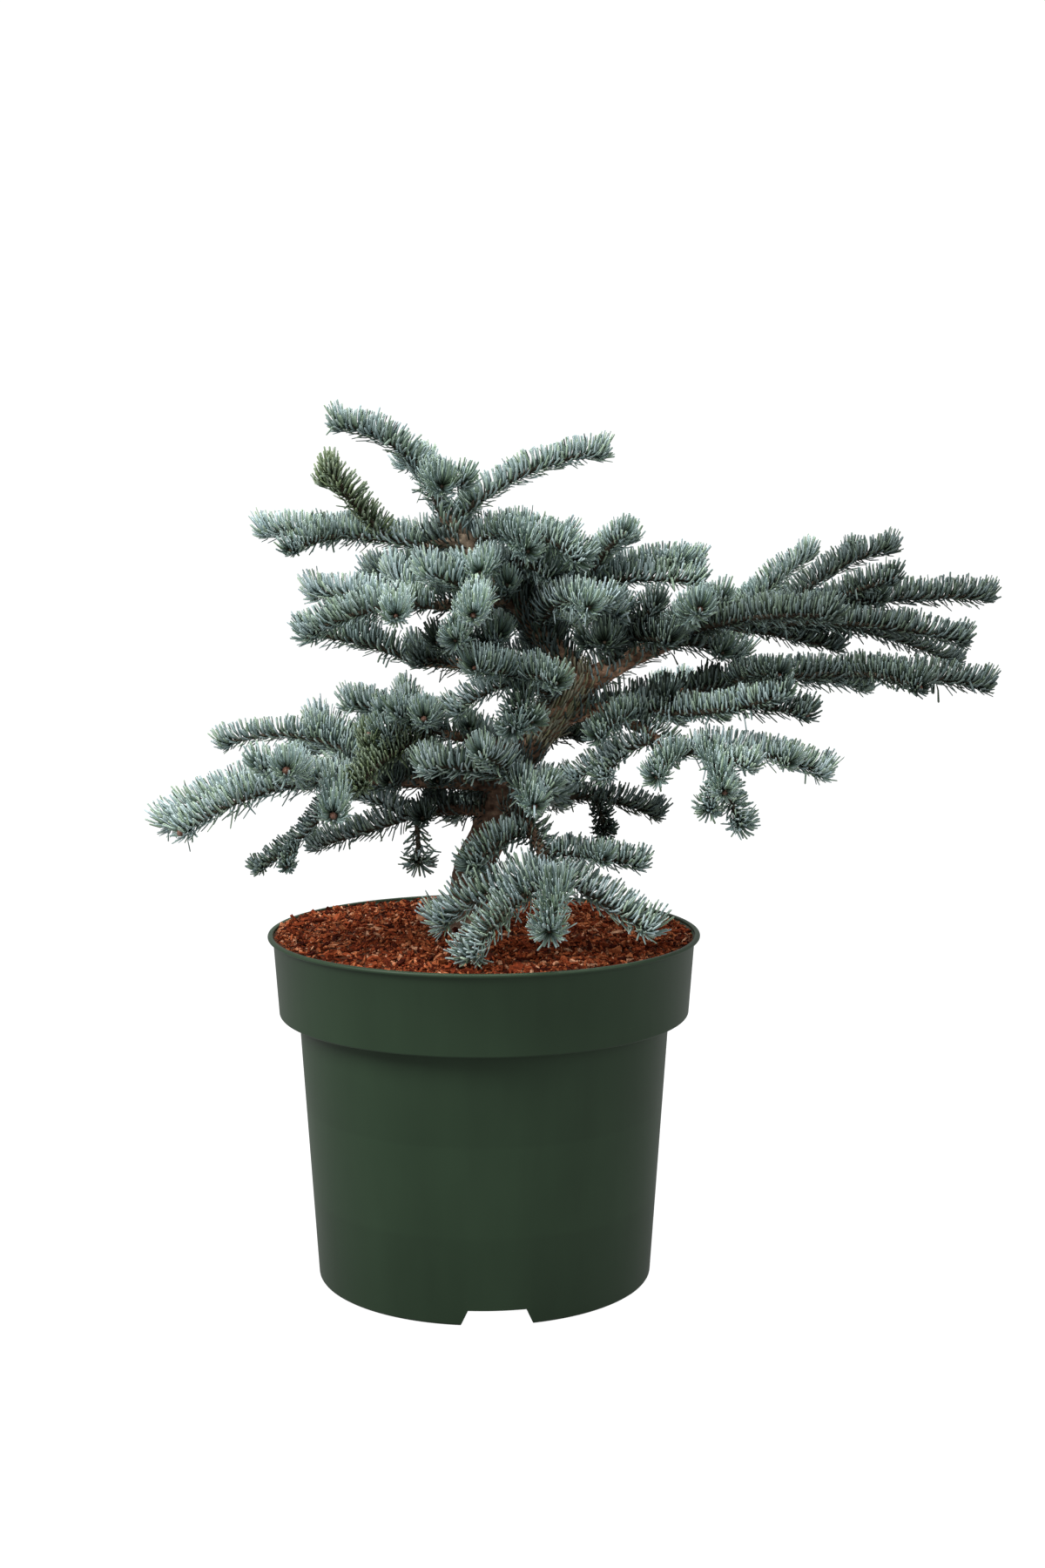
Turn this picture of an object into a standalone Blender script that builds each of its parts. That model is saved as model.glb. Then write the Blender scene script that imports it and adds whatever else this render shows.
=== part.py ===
"""Potted noble fir: nursery pot, growing mix, trunk, boughs and masses of needled shoots.

Metres, +Z up. The origin is the centre of the pot's flat underside, X runs to the right of the
front view and Y away from it. The sizes below are in millimetres and degrees.
"""

import math
import random

import bmesh
import bpy
import numpy as np
from mathutils import Quaternion, Vector
from mathutils.bvhtree import BVHTree

for old in list(bpy.data.objects):
    bpy.data.objects.remove(old, do_unlink=True)

MM = 0.001
UP = Vector((0.0, 0.0, 1.0))

# Pot, in mm: a 28 cm nursery pot with a stacking collar and three drainage notches.
POT_HEIGHT = 226.0
POT_WALL = 2.2
POT_FLOOR = 3.0
BASE_RADIUS = 109.0
NECK_RADIUS = 120.5
COLLAR_BOTTOM = 174.0
COLLAR_LOW_RADIUS = 133.0
COLLAR_TOP_RADIUS = 136.5
LIP_RADIUS = 140.0
LIP_HEIGHT = 5.0
POT_STEPS = 44
LIP_ROUND = 1.4
FOOT_ROUND = 1.5
COLLAR_ROUND = 2.25
NOTCH_COUNT = 3
NOTCH_HEIGHT = 10.0
NOTCH_DEPTH = 32.0
NOTCH_PROUD = 6.0
NOTCH_TOP_WIDTH = 36.0
NOTCH_LOW_WIDTH = 45.0
NOTCH_FIRST_HEADING = -85.0
NOTCH_WALL = 2.0

# Growing mix: level, just under the rim, clear of the pot on all sides.
SOIL_TOP = 222.0
CLEARANCE = 0.3

# Trunk with its leader, from the soil to the top whorl: x, y, z, radius in mm.
TRUNK_BENDS = (
    (-13, 16, 230, 12.3),
    (-12, 15, 242, 12.1),
    (-7, 12, 266, 12.0),
    (5, 8, 292, 12.2),
    (16, 3, 322, 11.2),
    (30, 0, 348, 10.4),
    (48, -4, 370, 10.8),
    (59, -5, 385, 10.6),
    (55, -4, 396, 9.2),
    (39, 0, 415, 7.8),
    (17, 4, 445, 7.0),
    (-9, 8, 475, 6.2),
    (-26, 10, 492, 5.4),
)
TRUNK_STEP = 11.0
TRUNK_RESOLUTION = 2
FOOT_HEIGHT = SOIL_TOP + CLEARANCE
FOOT_RADIUS = 16.5

# Boughs: parent, share along it, heading, rise, length, arch in hundredths of the length,
# radius at the root and at the tip.
BOUGHS = {
    "right_limb": ("trunk", 0.55, 5, 21, 125, 8, 7.9, 4.6),
    "right_lower_bough": ("trunk", 0.485, -18, 13, 92, 1, 5.0, 3.0),
    "right_hanging_bough": ("right_lower_bough", 0.36, -44, -20, 68, 6, 3.4, 2.7),
    "left_upper_bough": ("trunk", 0.93, -159, -4, 28, 5, 3.6, 2.8),
    "left_shelf_bough": ("trunk", 0.78, -135, -1, 69, 3, 4.6, 3.0),
    "left_middle_bough": ("trunk", 0.64, 164, -2, 100, -3, 4.6, 3.0),
    "left_mid_bough": ("trunk", 0.41, -150, 13, 62, 0, 3.8, 2.7),
    "left_lower_bough": ("trunk", 0.335, -156, 4, 101, 0, 5.6, 3.2),
    "left_second_bough": ("trunk", 0.27, -154, 4, 53, 3, 3.8, 2.7),
    "low_front_bough": ("trunk", 0.295, -66, -25, 80, 10, 4.6, 2.9),
    "low_right_bough": ("trunk", 0.335, -18, -10, 40, 4, 3.2, 2.5),
    "front_centre_bough": ("trunk", 0.375, -93, -3, 46, 5, 3.4, 2.6),
    "leader_right_bough": ("trunk", 0.75, -25, 23, 45, 3, 3.8, 2.8),
    "back_left_bough": ("trunk", 0.35, 131, 1, 55, 3, 4.6, 3.2),
    "back_right_bough": ("trunk", 0.43, 51, 6, 54, 3, 4.6, 3.2),
    "back_top_bough": ("trunk", 0.77, 96, 14, 40, 3, 4.2, 3.0),
    "back_limb_bough": ("right_limb", 0.61, 66, 4, 49, 3, 3.8, 2.8),
    "back_low_bough": ("trunk", 0.295, 83, -11, 45, 5, 4.2, 3.0),
}
BOUGH_STEP = 14.0
BOUGH_RESOLUTION = 1
COLLAR_SWELL = 0.25
COLLAR_LENGTH = 10.0

# Samples: between two bends, along a limb for its tangent and its points, around a stem's foot
# and steps that seat it, and the least sine of the angle at which a stem leaves a limb.
BEND_SAMPLES = 12
NEARBY = 0.03
SPREAD_STEP = 3.0
RIM_CHECKS = 12
SEATING_STEPS = 8
LEAST_ACROSS = 0.25

# Foliage masses: limb, share along it, then the shoots. The first shoot is the stem that leaves
# the limb, and the others leave the stem. Each has its share along the stem, heading, rise,
# length and arch.
MASSES = {
    "top_left_foliage": ("trunk", 1.0, (
        (0, -161, 40, 90, 17), (0.20, -82, 0, 66, 4), (0.24, 98, 14, 55, 5))),
    "top_right_foliage": ("trunk", 0.98, (
        (0, -3, 25, 107, 9), (0.20, 100, -6, 46, 3))),
    "upper_left_foliage": ("left_upper_bough", 1.0, (
        (0, -173, 5, 103, 3), (0.50, -131, -11, 49, 3), (0.22, -139, 43, 67, -5),
        (0.30, 132, 2, 52, 5))),
    "upper_front_foliage": ("trunk", 0.93, (
        (0, -40, -6, 91, 12), (0.26, -70, -10, 58, 7), (0.45, 45, -14, 40, 3))),
    "leader_foliage": ("trunk", 0.87, (
        (0, -43, -7, 54, 10), (0.15, -100, -4, 60, 3), (0.50, 80, -26, 52, 3))),
    "right_of_leader_foliage": ("leader_right_bough", 1.0, (
        (0, -59, 37, 54, 8), (0.10, 3, 9, 69, 6), (0.05, -21, 1, 71, 4),
        (0.30, 80, 11, 46, 5))),
    "centre_fan_foliage": ("trunk", 0.71, (
        (0, -68, 12, 83, 13), (0.35, -25, -4, 45, 8))),
    "left_shelf_foliage": ("left_shelf_bough", 1.0, (
        (0, -157, -11, 85, 8), (0.30, -88, -3, 65, 3), (0.25, 161, 6, 61, 3),
        (0.10, 127, 29, 41, 3))),
    "left_inner_foliage": ("left_shelf_bough", 0.45, (
        (0, -92, -3, 98, 5), (0.25, -150, 23, 41, 5), (0.35, -109, -30, 48, 0))),
    "left_under_foliage": ("left_middle_bough", 1.0, (
        (0, -177, 14, 69, 5), (0.35, 127, 25, 53, 5))),
    "left_under_inner_foliage": ("left_middle_bough", 0.45, (
        (0, -124, 15, 62, 5), (0.30, -61, 23, 32, 5), (0.20, -50, -23, 36, 0))),
    "right_tip_foliage": ("right_limb", 1.0, (
        (0, -4, 7, 151, 4), (0.26, -42, 19, 64, 3), (0.12, 14, 30, 88, 9))),
    "right_back_fan_foliage": ("right_limb", 0.88, (
        (0, 38, 32, 86, 2), (0.25, 80, 4, 24, 5))),
    "right_inner_fan_foliage": ("right_limb", 0.60, (
        (0, -51, 31, 52, 5), (0.30, 66, 8, 30, 3))),
    "right_lower_tip_foliage": ("right_limb", 0.76, (
        (0, -18, -1, 164, 5), (0.35, 21, -13, 122, 5), (0.15, -5, -12, 62, 0))),
    "right_front_foliage": ("right_limb", 0.42, (
        (0, -36, 11, 138, 6), (0.20, -84, 14, 86, 4), (0.15, -20, -11, 48, 4))),
    "limb_inner_foliage": ("right_limb", 0.20, (
        (0, -57, 38, 71, 5), (0.30, -100, 8, 54, 5), (0.20, 85, 47, 49, 5),
        (0.50, -57, -1, 45, 0))),
    "lower_tip_foliage": ("right_lower_bough", 1.0, (
        (0, -10, 2, 184, 5), (0.54, -59, -3, 69, 4), (0.15, -71, 8, 72, 4),
        (0.30, 12, -6, 60, 4))),
    "lower_middle_foliage": ("right_lower_bough", 0.52, (
        (0, -42, 6, 128, -6), (0.17, -127, -14, 54, 8), (0.66, -30, -1, 52, 6))),
    "comb_foliage": ("right_hanging_bough", 0.76, (
        (0, -163, -24, 60, 3), (0.35, -140, -38, 24, 3))),
    "hanging_foliage": ("right_hanging_bough", 1.0, (
        (0, -14, -6, 92, 7), (0.06, -117, -16, 42, 8), (0.20, -84, -15, 68, 8),
        (0.22, -57, -51, 54, 0))),
    "low_right_foliage": ("low_right_bough", 1.0, (
        (0, 6, -12, 59, 5), (0.30, -77, -37, 31, 10))),
    "front_centre_foliage": ("front_centre_bough", 1.0, (
        (0, -75, -13, 51, 5), (0.10, -122, 26, 44, 5), (0.06, -156, 9, 60, 5),
        (0.12, -20, -12, 29, 5))),
    "centre_upper_foliage": ("trunk", 0.52, (
        (0, -121, 17, 107, 6), (0.55, -55, -2, 43, 5), (0.40, -103, -30, 50, 5),
        (0.50, -158, -24, 47, 5))),
    "left_low_back_foliage": ("left_lower_bough", 0.82, (
        (0, 168, 11, 110, 14), (0.14, 138, 27, 52, 5), (0.08, -93, 34, 44, -6))),
    "left_low_end_foliage": ("left_lower_bough", 1.0, (
        (0, -149, -11, 121, 8), (0.34, -90, 12, 80, 5), (0.35, -179, -17, 84, 9),
        (0.12, -88, -8, 82, 5), (0.10, -155, -43, 78, -8))),
    "left_second_foliage": ("left_second_bough", 1.0, (
        (0, -166, -16, 72, -1), (0.06, -84, -52, 36, 4), (0.10, -178, 20, 40, 3))),
    "left_mid_foliage": ("left_mid_bough", 1.0, (
        (0, -171, 17, 62, 7), (0.12, -92, 10, 66, 5), (0.15, -127, -4, 45, 3),
        (0.08, -130, -22, 77, 5), (0.30, 106, 21, 34, 5))),
    "front_left_foliage": ("low_front_bough", 0.58, (
        (0, -134, -19, 54, 7),)),
    "front_right_foliage": ("low_front_bough", 0.84, (
        (0, -20, -4, 64, 2),)),
    "front_low_foliage": ("low_front_bough", 1.0, (
        (0, -25, -26, 74, 0), (0.08, -164, -20, 78, 6), (0.14, -98, -20, 66, 8),
        (0.10, -137, -30, 84, 8))),
    "back_left_foliage": ("back_left_bough", 1.0, (
        (0, 140, 0, 150, 6), (0.20, 91, -8, 67, 5), (0.20, -172, -30, 40, 5),
        (0.50, 99, 3, 69, 5), (0.50, 176, -30, 52, 5))),
    "back_right_foliage": ("back_right_bough", 1.0, (
        (0, 43, 2, 148, 5), (0.20, 93, -13, 57, 5), (0.20, 3, -3, 45, 5),
        (0.50, 84, 4, 71, 5), (0.50, 5, 7, 69, 5))),
    "back_top_foliage": ("back_top_bough", 1.0, (
        (0, 95, 5, 109, 6), (0.20, 146, 6, 58, 5), (0.25, 39, 7, 50, 5),
        (0.50, 65, 8, 55, 5))),
    "back_limb_foliage": ("back_limb_bough", 1.0, (
        (0, 51, 5, 135, 6), (0.24, 101, 5, 57, 5), (0.30, 22, -17, 56, 5),
        (0.50, 85, 0, 66, 5))),
    "back_low_foliage": ("back_low_bough", 1.0, (
        (0, 91, -12, 104, 8), (0.20, 51, -9, 55, 5), (0.20, 142, -17, 51, 5),
        (0.50, 116, -10, 56, 5))),
    "back_middle_foliage": ("trunk", 0.66, (
        (0, 97, -1, 113, 8), (0.40, 118, 3, 88, 5), (0.45, 56, 3, 85, 5))),
    "back_upper_foliage": ("trunk", 0.90, (
        (0, 100, 4, 84, 8), (0.25, 145, 2, 50, 5), (0.35, 55, 4, 52, 5))),
    "back_shelf_foliage": ("trunk", 0.815, (
        (0, 152, 3, 100, 6), (0.35, 110, 4, 62, 5), (0.45, 178, 2, 44, 3))),
}

# Shoots: a bare root, a four-sided core and a needle out of each of its side faces.
SHOOT_STEP = 12.0
SHOOT_RESOLUTION = 0
SHOOT_TWIST = 28.0
TWIG_RADIUS = 1.7
CORE_RADIUS = 3.6
TIP_RADIUS = 2.2
BARE_ROOT = 9.0
ROOT_RUN = 4.5
BUD_LENGTH = 5.0
NEEDLE_REACH = 9.3
NEEDLE_LEAN = 7.5
NEEDLE_LIFT = 1.6
REACH_SPREAD = 0.09
LEAN_SPREAD = 0.15
TIP_SHRINK = 0.3
UNDERSIDE_SHRINK = 0.25
SEED = 20

# Room that a needle keeps to other masses, limbs and the soil, at these shares of its length.
NEEDLE_CHECKS = (0.45, 0.75, 1.0)
SPACE_MARGIN = 1.5
LIMB_MARGIN = 1.2
SOIL_MARGIN = 2.0

COLOURS = {
    "plastic": ((0.028, 0.048, 0.030, 1.0), 0.45),
    "mix": ((0.16, 0.055, 0.022, 1.0), 0.95),
    "bark": ((0.11, 0.075, 0.055, 1.0), 0.9),
    "needles": ((0.17, 0.27, 0.26, 1.0), 0.7),
}


def new_collection(name):
    """Collection in the scene."""
    group = bpy.data.collections.new(name)
    bpy.context.scene.collection.children.link(group)
    return group


TREE = new_collection("noble_fir")
CUTTERS = new_collection("cutters")


def make_material(name):
    """Plain material of one of the named colours."""
    colour, roughness = COLOURS[name]
    material = bpy.data.materials.new(name)
    material.use_nodes = True
    shader = material.node_tree.nodes["Principled BSDF"]
    shader.inputs["Base Color"].default_value = colour
    shader.inputs["Roughness"].default_value = roughness
    return material


MATERIALS = {name: make_material(name) for name in COLOURS}


def add_object(name, data, group, material=None, place=None):
    """Object in a collection, at its place in mm, hidden as a guide where it is a cutter."""
    result = bpy.data.objects.new(name, data)
    group.objects.link(result)
    if place is not None:
        result.location = place * MM
    if material:
        data.materials.append(MATERIALS[material])
    if group is not TREE:
        result.hide_render = True
        result.display_type = "WIRE"
    return result


def unit(heading, rise):
    """Direction with a heading in the level plane and a rise above it, in degrees."""
    across = math.cos(math.radians(rise))
    east = across * math.cos(math.radians(heading))
    north = across * math.sin(math.radians(heading))
    return Vector((east, north, math.sin(math.radians(rise))))


def heading_and_rise(reach):
    """Heading and rise of a vector, in degrees."""
    heading = math.degrees(math.atan2(reach.y, reach.x))
    return heading, math.degrees(math.atan2(reach.z, math.hypot(reach.x, reach.y)))


def value_at(values, share):
    """Value at a share of a list of evenly spread vectors or numbers."""
    place = min(max(share, 0.0), 1.0) * (len(values) - 1)
    low = min(int(place), len(values) - 2)
    return values[low] + (values[low + 1] - values[low]) * (place - low)


def tangent_at(path, share):
    """Direction of travel at a share of a path."""
    return (value_at(path, share + NEARBY) - value_at(path, share - NEARBY)).normalized()


def path_length(path):
    """Length of a path of points."""
    return sum((after - before).length for before, after in zip(path, path[1:]))


def arched(start, heading, rise, length, arch, step):
    """Points of a limb that leaves its start and bows up by arch hundredths of its length."""
    along = unit(heading, rise)
    lift = (UP - along * along.dot(UP)).normalized()
    end = start + along * length
    middle = (start + end) / 2 + lift * (2 * arch / 100 * length)
    count = max(3, round(length / step))
    points = []
    for index in range(count + 1):
        t = index / count
        points.append(start * (1 - t) ** 2 + middle * 2 * t * (1 - t) + end * t * t)
    return points


def smooth_path(bends, step):
    """Curve through the bends as rows a step apart, each with its radius as fourth number."""
    rows = np.array(bends, dtype=float)
    padded = np.vstack([2 * rows[0] - rows[1], rows, 2 * rows[-1] - rows[-2]])
    fine = []
    for a, b, c, d in zip(padded, padded[1:], padded[2:], padded[3:]):
        for t in np.linspace(0.0, 1.0, BEND_SAMPLES, endpoint=False):
            pull = (c - a) * t + (2 * a - 5 * b + 4 * c - d) * t ** 2
            fine.append(b + 0.5 * (pull + (3 * b - a - 3 * c + d) * t ** 3))
    fine = np.array(fine + [rows[-1]])
    steps = np.linalg.norm(np.diff(fine[:, :3], axis=0), axis=1)
    travel = np.concatenate([[0.0], np.cumsum(steps)])
    stations = np.linspace(0.0, travel[-1], round(travel[-1] / step) + 1)
    return np.column_stack([np.interp(stations, travel, fine[:, k]) for k in range(4)])


def tube(name, path, radii, resolution, group, material=None, twist=0.0):
    """Tapering tube with flat ends along a path, as a welded mesh with its origin at the root."""
    curve = bpy.data.curves.new(name, "CURVE")
    curve.dimensions = "3D"
    curve.bevel_depth = MM
    curve.bevel_resolution = resolution
    curve.use_fill_caps = True
    spline = curve.splines.new("POLY")
    spline.points.add(len(path) - 1)
    for index, point in enumerate(spline.points):
        point.co = (*((path[index] - path[0]) * MM), 1.0)
        point.radius = radii[index]
        point.tilt = math.radians(twist * index)
    guide = add_object(name + "_guide", curve, CUTTERS, place=path[0])
    graph = bpy.context.evaluated_depsgraph_get()
    mesh = bpy.data.meshes.new_from_object(guide.evaluated_get(graph))
    bpy.data.objects.remove(guide, do_unlink=True)
    work = bmesh.new()
    work.from_mesh(mesh)
    bmesh.ops.remove_doubles(work, verts=work.verts, dist=0.01 * MM)
    work.to_mesh(mesh)
    work.free()
    mesh.materials.clear()
    return add_object(name, mesh, group, material, path[0])


def turned(name, profile, group, material=None):
    """Solid of revolution from a profile of radius and height in mm."""
    mesh = bpy.data.meshes.new(name)
    points = [(radius * MM, 0.0, height * MM) for radius, height in profile]
    mesh.from_pydata(points, [(index, index + 1) for index in range(len(points) - 1)], [])
    result = add_object(name, mesh, group, material)
    screw = result.modifiers.new("turn", "SCREW")
    screw.steps = POT_STEPS
    screw.render_steps = POT_STEPS
    screw.use_merge_vertices = True
    screw.merge_threshold = 0.01 * MM
    return result


def cut(target, cutter=None, group=None):
    """Boolean difference with a cutter or a collection. EXACT leaves open edges on the pot."""
    modifier = target.modifiers.new("cut", "BOOLEAN")
    modifier.operation = "DIFFERENCE"
    modifier.solver = "MANIFOLD"
    if group:
        modifier.operand_type = "COLLECTION"
        modifier.collection = group
    else:
        modifier.object = cutter


def notch_blocks(name, grow):
    """Collection of blocks, one for each drainage notch, grown by a margin on all sides."""
    group = bpy.data.collections.new(name)
    CUTTERS.children.link(group)
    low = -grow - FOOT_ROUND
    high = NOTCH_HEIGHT + grow
    inner = BASE_RADIUS - NOTCH_DEPTH - grow
    outer = BASE_RADIUS + NOTCH_PROUD
    lean = (NOTCH_LOW_WIDTH - NOTCH_TOP_WIDTH) / NOTCH_HEIGHT
    for index in range(NOTCH_COUNT):
        work = bmesh.new()
        bmesh.ops.create_cube(work, size=1.0)
        for vertex in work.verts:
            height = high if vertex.co.z > 0 else low
            width = NOTCH_LOW_WIDTH - lean * height + 2 * grow
            out = outer if vertex.co.x > 0 else inner
            vertex.co = Vector((out, vertex.co.y * width, height)) * MM
        mesh = bpy.data.meshes.new(name)
        work.to_mesh(mesh)
        work.free()
        block = add_object(f"{name}_{index}", mesh, group)
        block.rotation_euler.z = math.radians(NOTCH_FIRST_HEADING + 360 / NOTCH_COUNT * index)
    return group


def hollow_profile(inset, top):
    """Inside of the pot drawn in by an inset, from the axis at the top down to the floor."""
    slope = (COLLAR_TOP_RADIUS - COLLAR_LOW_RADIUS) / (POT_HEIGHT - COLLAR_BOTTOM)
    wall = POT_WALL + inset
    shoulder = COLLAR_BOTTOM + wall
    return (
        (0, top),
        (COLLAR_LOW_RADIUS + slope * (top - COLLAR_BOTTOM) - wall, top),
        (COLLAR_LOW_RADIUS - wall, shoulder),
        (NECK_RADIUS - wall, shoulder),
        (BASE_RADIUS - wall, POT_FLOOR + inset),
        (0, POT_FLOOR + inset),
    )


def build_pot():
    """Pot: turned wall with collar and lip, hollowed, with boxed drainage notches."""
    outside = (
        (0, POT_HEIGHT),
        (LIP_RADIUS - LIP_ROUND, POT_HEIGHT),
        (LIP_RADIUS, POT_HEIGHT - LIP_ROUND),
        (LIP_RADIUS, POT_HEIGHT - LIP_HEIGHT + LIP_ROUND),
        (COLLAR_TOP_RADIUS, POT_HEIGHT - LIP_HEIGHT),
        (COLLAR_LOW_RADIUS, COLLAR_BOTTOM + COLLAR_ROUND),
        (COLLAR_LOW_RADIUS - COLLAR_ROUND, COLLAR_BOTTOM),
        (NECK_RADIUS, COLLAR_BOTTOM),
        (BASE_RADIUS, FOOT_ROUND),
        (BASE_RADIUS - FOOT_ROUND, 0),
        (0, 0),
    )
    pot = turned("pot", outside, TREE, "plastic")
    hollow = turned("pot_hollow", hollow_profile(0, POT_HEIGHT + LIP_HEIGHT), CUTTERS)
    cut(hollow, group=notch_blocks("boxed_notches", NOTCH_WALL))
    cut(pot, hollow)
    cut(pot, group=notch_blocks("notches", 0))


def build_growing_mix():
    """Growing mix: fills the pot up to just under the rim."""
    mix = turned("growing_mix", hollow_profile(CLEARANCE, SOIL_TOP), TREE, "mix")
    cut(mix, group=notch_blocks("clear_notches", NOTCH_WALL + CLEARANCE))


def limb_tubes(name, path, radii, resolution):
    """Limb, and its clearance: the same tube grown, which later limbs are cut back by."""
    tube_object = tube(name, path, radii, resolution, TREE, "bark")
    for face in tube_object.data.polygons:
        face.use_smooth = len(face.vertices) == 4
    grown = [radius + CLEARANCE / math.cos(math.pi / (4 + 2 * resolution)) for radius in radii]
    return tube_object, tube(name + "_clearance", path, grown, resolution, CUTTERS)


def build_limbs():
    """Trunk and boughs. Returns the path and radii of each limb."""
    stations = smooth_path(TRUNK_BENDS, TRUNK_STEP)
    foot = Vector((stations[0][0], stations[0][1], FOOT_HEIGHT))
    path = [foot] + [Vector(row[:3]) for row in stations]
    radii = [FOOT_RADIUS] + [row[3] for row in stations]
    limbs = {"trunk": (path, radii)}
    clearances = {"trunk": limb_tubes("trunk", path, radii, TRUNK_RESOLUTION)[1]}
    for name, (parent, share, heading, rise, length, arch, root, tip) in BOUGHS.items():
        start = value_at(limbs[parent][0], share)
        path = arched(start, heading, rise, length, arch, BOUGH_STEP)
        radii = []
        for index in range(len(path)):
            travel = length * index / (len(path) - 1)
            swell = COLLAR_SWELL * root * math.exp(-travel / COLLAR_LENGTH)
            radii.append(root + (tip - root) * travel / length + swell)
        limbs[name] = (path, radii)
        bough, clearances[name] = limb_tubes(name, path, radii, BOUGH_RESOLUTION)
        cut(bough, clearances[parent])
    return limbs


def bark_of(name):
    """Search tree of a limb's faces, as cut back from its parent."""
    limb = bpy.data.objects[name]
    return BVHTree.FromObject(limb, bpy.context.evaluated_depsgraph_get()), limb.location


def stem_start(name, limb, share, aim):
    """Where a stem leaves its limb, just clear of the bark."""
    path, radii = limb
    if share >= 1.0:
        return path[-1] + (path[-1] - path[-2]).normalized() * CLEARANCE
    along = abs(aim.dot(tangent_at(path, share)))
    across = max(math.sqrt(1 - along * along), LEAST_ACROSS)
    out = (value_at(radii, share) + CLEARANCE + TWIG_RADIUS * along) / across
    start = value_at(path, share) + aim * out
    bark, origin = bark_of(name)
    side = aim.orthogonal().normalized() * TWIG_RADIUS
    rim = [Quaternion(aim, math.tau * turn / RIM_CHECKS) @ side for turn in range(RIM_CHECKS)]
    for _ in range(SEATING_STEPS):
        gap = min(bark.find_nearest((start + point) * MM - origin)[3] for point in rim) / MM
        start -= aim * (gap - CLEARANCE)
    return start


def plan_masses(limbs):
    """Path of every shoot of every mass, its stem first."""
    plans = {}
    for name, (limb, share, shoots) in MASSES.items():
        _, heading, rise, length, arch = shoots[0]
        bow = math.degrees(math.atan(4 * arch / 100))
        start = stem_start(limb, limbs[limb], share, unit(heading, rise + bow))
        tip = value_at(limbs[limb][0], share) + unit(heading, rise) * length
        reach = tip - start
        paths = [arched(start, *heading_and_rise(reach), reach.length, arch, SHOOT_STEP)]
        if share >= 1.0:
            limb_path = limbs[limb][0]
            paths[0].insert(1, start + (limb_path[-1] - limb_path[-2]).normalized() * ROOT_RUN)
        for own_share, heading, rise, length, arch in shoots[1:]:
            start = value_at(paths[0], own_share)
            paths.append(arched(start, heading, rise, length, arch, SHOOT_STEP))
        plans[name] = paths
    return plans


def spread(path, radii=None):
    """Points every few millimetres along a path, with the radius there as fourth number."""
    radii = radii or [0.0] * len(path)
    count = round(path_length(path) / SPREAD_STEP)
    shares = [index / count for index in range(count + 1)]
    return np.array([(*value_at(path, share), value_at(radii, share)) for share in shares])


def nearest_gap(points, place):
    """Distance from a place to the nearest of the points, less the radius there."""
    return (np.linalg.norm(points[:, :3] - place, axis=1) - points[:, 3]).min()


def room_for(foot, tip, own, others, limbs):
    """True where a needle stays in its mass's own space and clear of limbs, soil and rim."""
    for share in NEEDLE_CHECKS:
        place = np.array(foot.lerp(tip, share))
        if nearest_gap(own, place) + SPACE_MARGIN > nearest_gap(others, place):
            return False
        if nearest_gap(limbs, place) < LIMB_MARGIN:
            return False
    out = math.hypot(tip.x, tip.y)
    if out > LIP_RADIUS + SOIL_MARGIN:
        return True
    floor = SOIL_TOP if out < COLLAR_LOW_RADIUS - 2 * SOIL_MARGIN else POT_HEIGHT
    return tip.z > floor + SOIL_MARGIN


def core_radii(path, root):
    """Radii of a shoot: a bare twig, then the core that its needles stand out of."""
    total = path_length(path)
    radii = []
    for index in range(len(path)):
        travel = path_length(path[:index + 1])
        if travel < BARE_ROOT:
            radii.append(root + (TWIG_RADIUS - root) * travel / BARE_ROOT)
        else:
            share = (travel - BARE_ROOT) / (total - BARE_ROOT)
            radii.append(CORE_RADIUS + (TIP_RADIUS - CORE_RADIUS) * share)
    return radii


def add_shoot(name, path, root, spaces, dice):
    """Shoot: a core with a needle drawn out of each side face that has room for one."""
    radii = core_radii(path, root)
    shoot = tube(name, path, radii, SHOOT_RESOLUTION, TREE, "needles", SHOOT_TWIST)
    work = bmesh.new()
    work.from_mesh(shoot.data)
    end = (path[-1] - path[0]) * MM
    nearby = 2 * TIP_RADIUS * MM
    cap = [face for face in work.faces if all((v.co - end).length < nearby for v in face.verts)]
    bmesh.ops.dissolve_faces(work, faces=cap)
    middles = [(before + after) / 2 for before, after in zip(path, path[1:])]
    for face in list(work.faces):
        foot = face.calc_center_median() / MM + path[0]
        if (foot - path[0]).length < TWIG_RADIUS / 2:
            continue
        if (foot - path[-1]).length < TIP_RADIUS / 2:
            tip = path[-1] + (path[-1] - path[-2]).normalized() * BUD_LENGTH
        else:
            ring = min(range(len(middles)), key=lambda i: (middles[i] - foot).length)
            share = ring / (len(middles) - 1)
            out = (foot - middles[ring]).normalized()
            reach = NEEDLE_REACH * (1 - TIP_SHRINK * share ** 3)
            reach *= 1 + REACH_SPREAD * dice.uniform(-1, 1) + UNDERSIDE_SHRINK * min(out.z, 0)
            lean = NEEDLE_LEAN * (1 + LEAN_SPREAD * dice.uniform(-1, 1))
            along = (path[ring + 1] - path[ring]).normalized()
            tip = foot + out * reach + along * lean + UP * NEEDLE_LIFT
            if ring == 0 or not room_for(foot, tip, *spaces):
                continue
        centre = bmesh.ops.poke(work, faces=[face])["verts"][0]
        centre.co = (tip - path[0]) * MM
    work.to_mesh(shoot.data)
    work.free()
    return shoot


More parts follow.
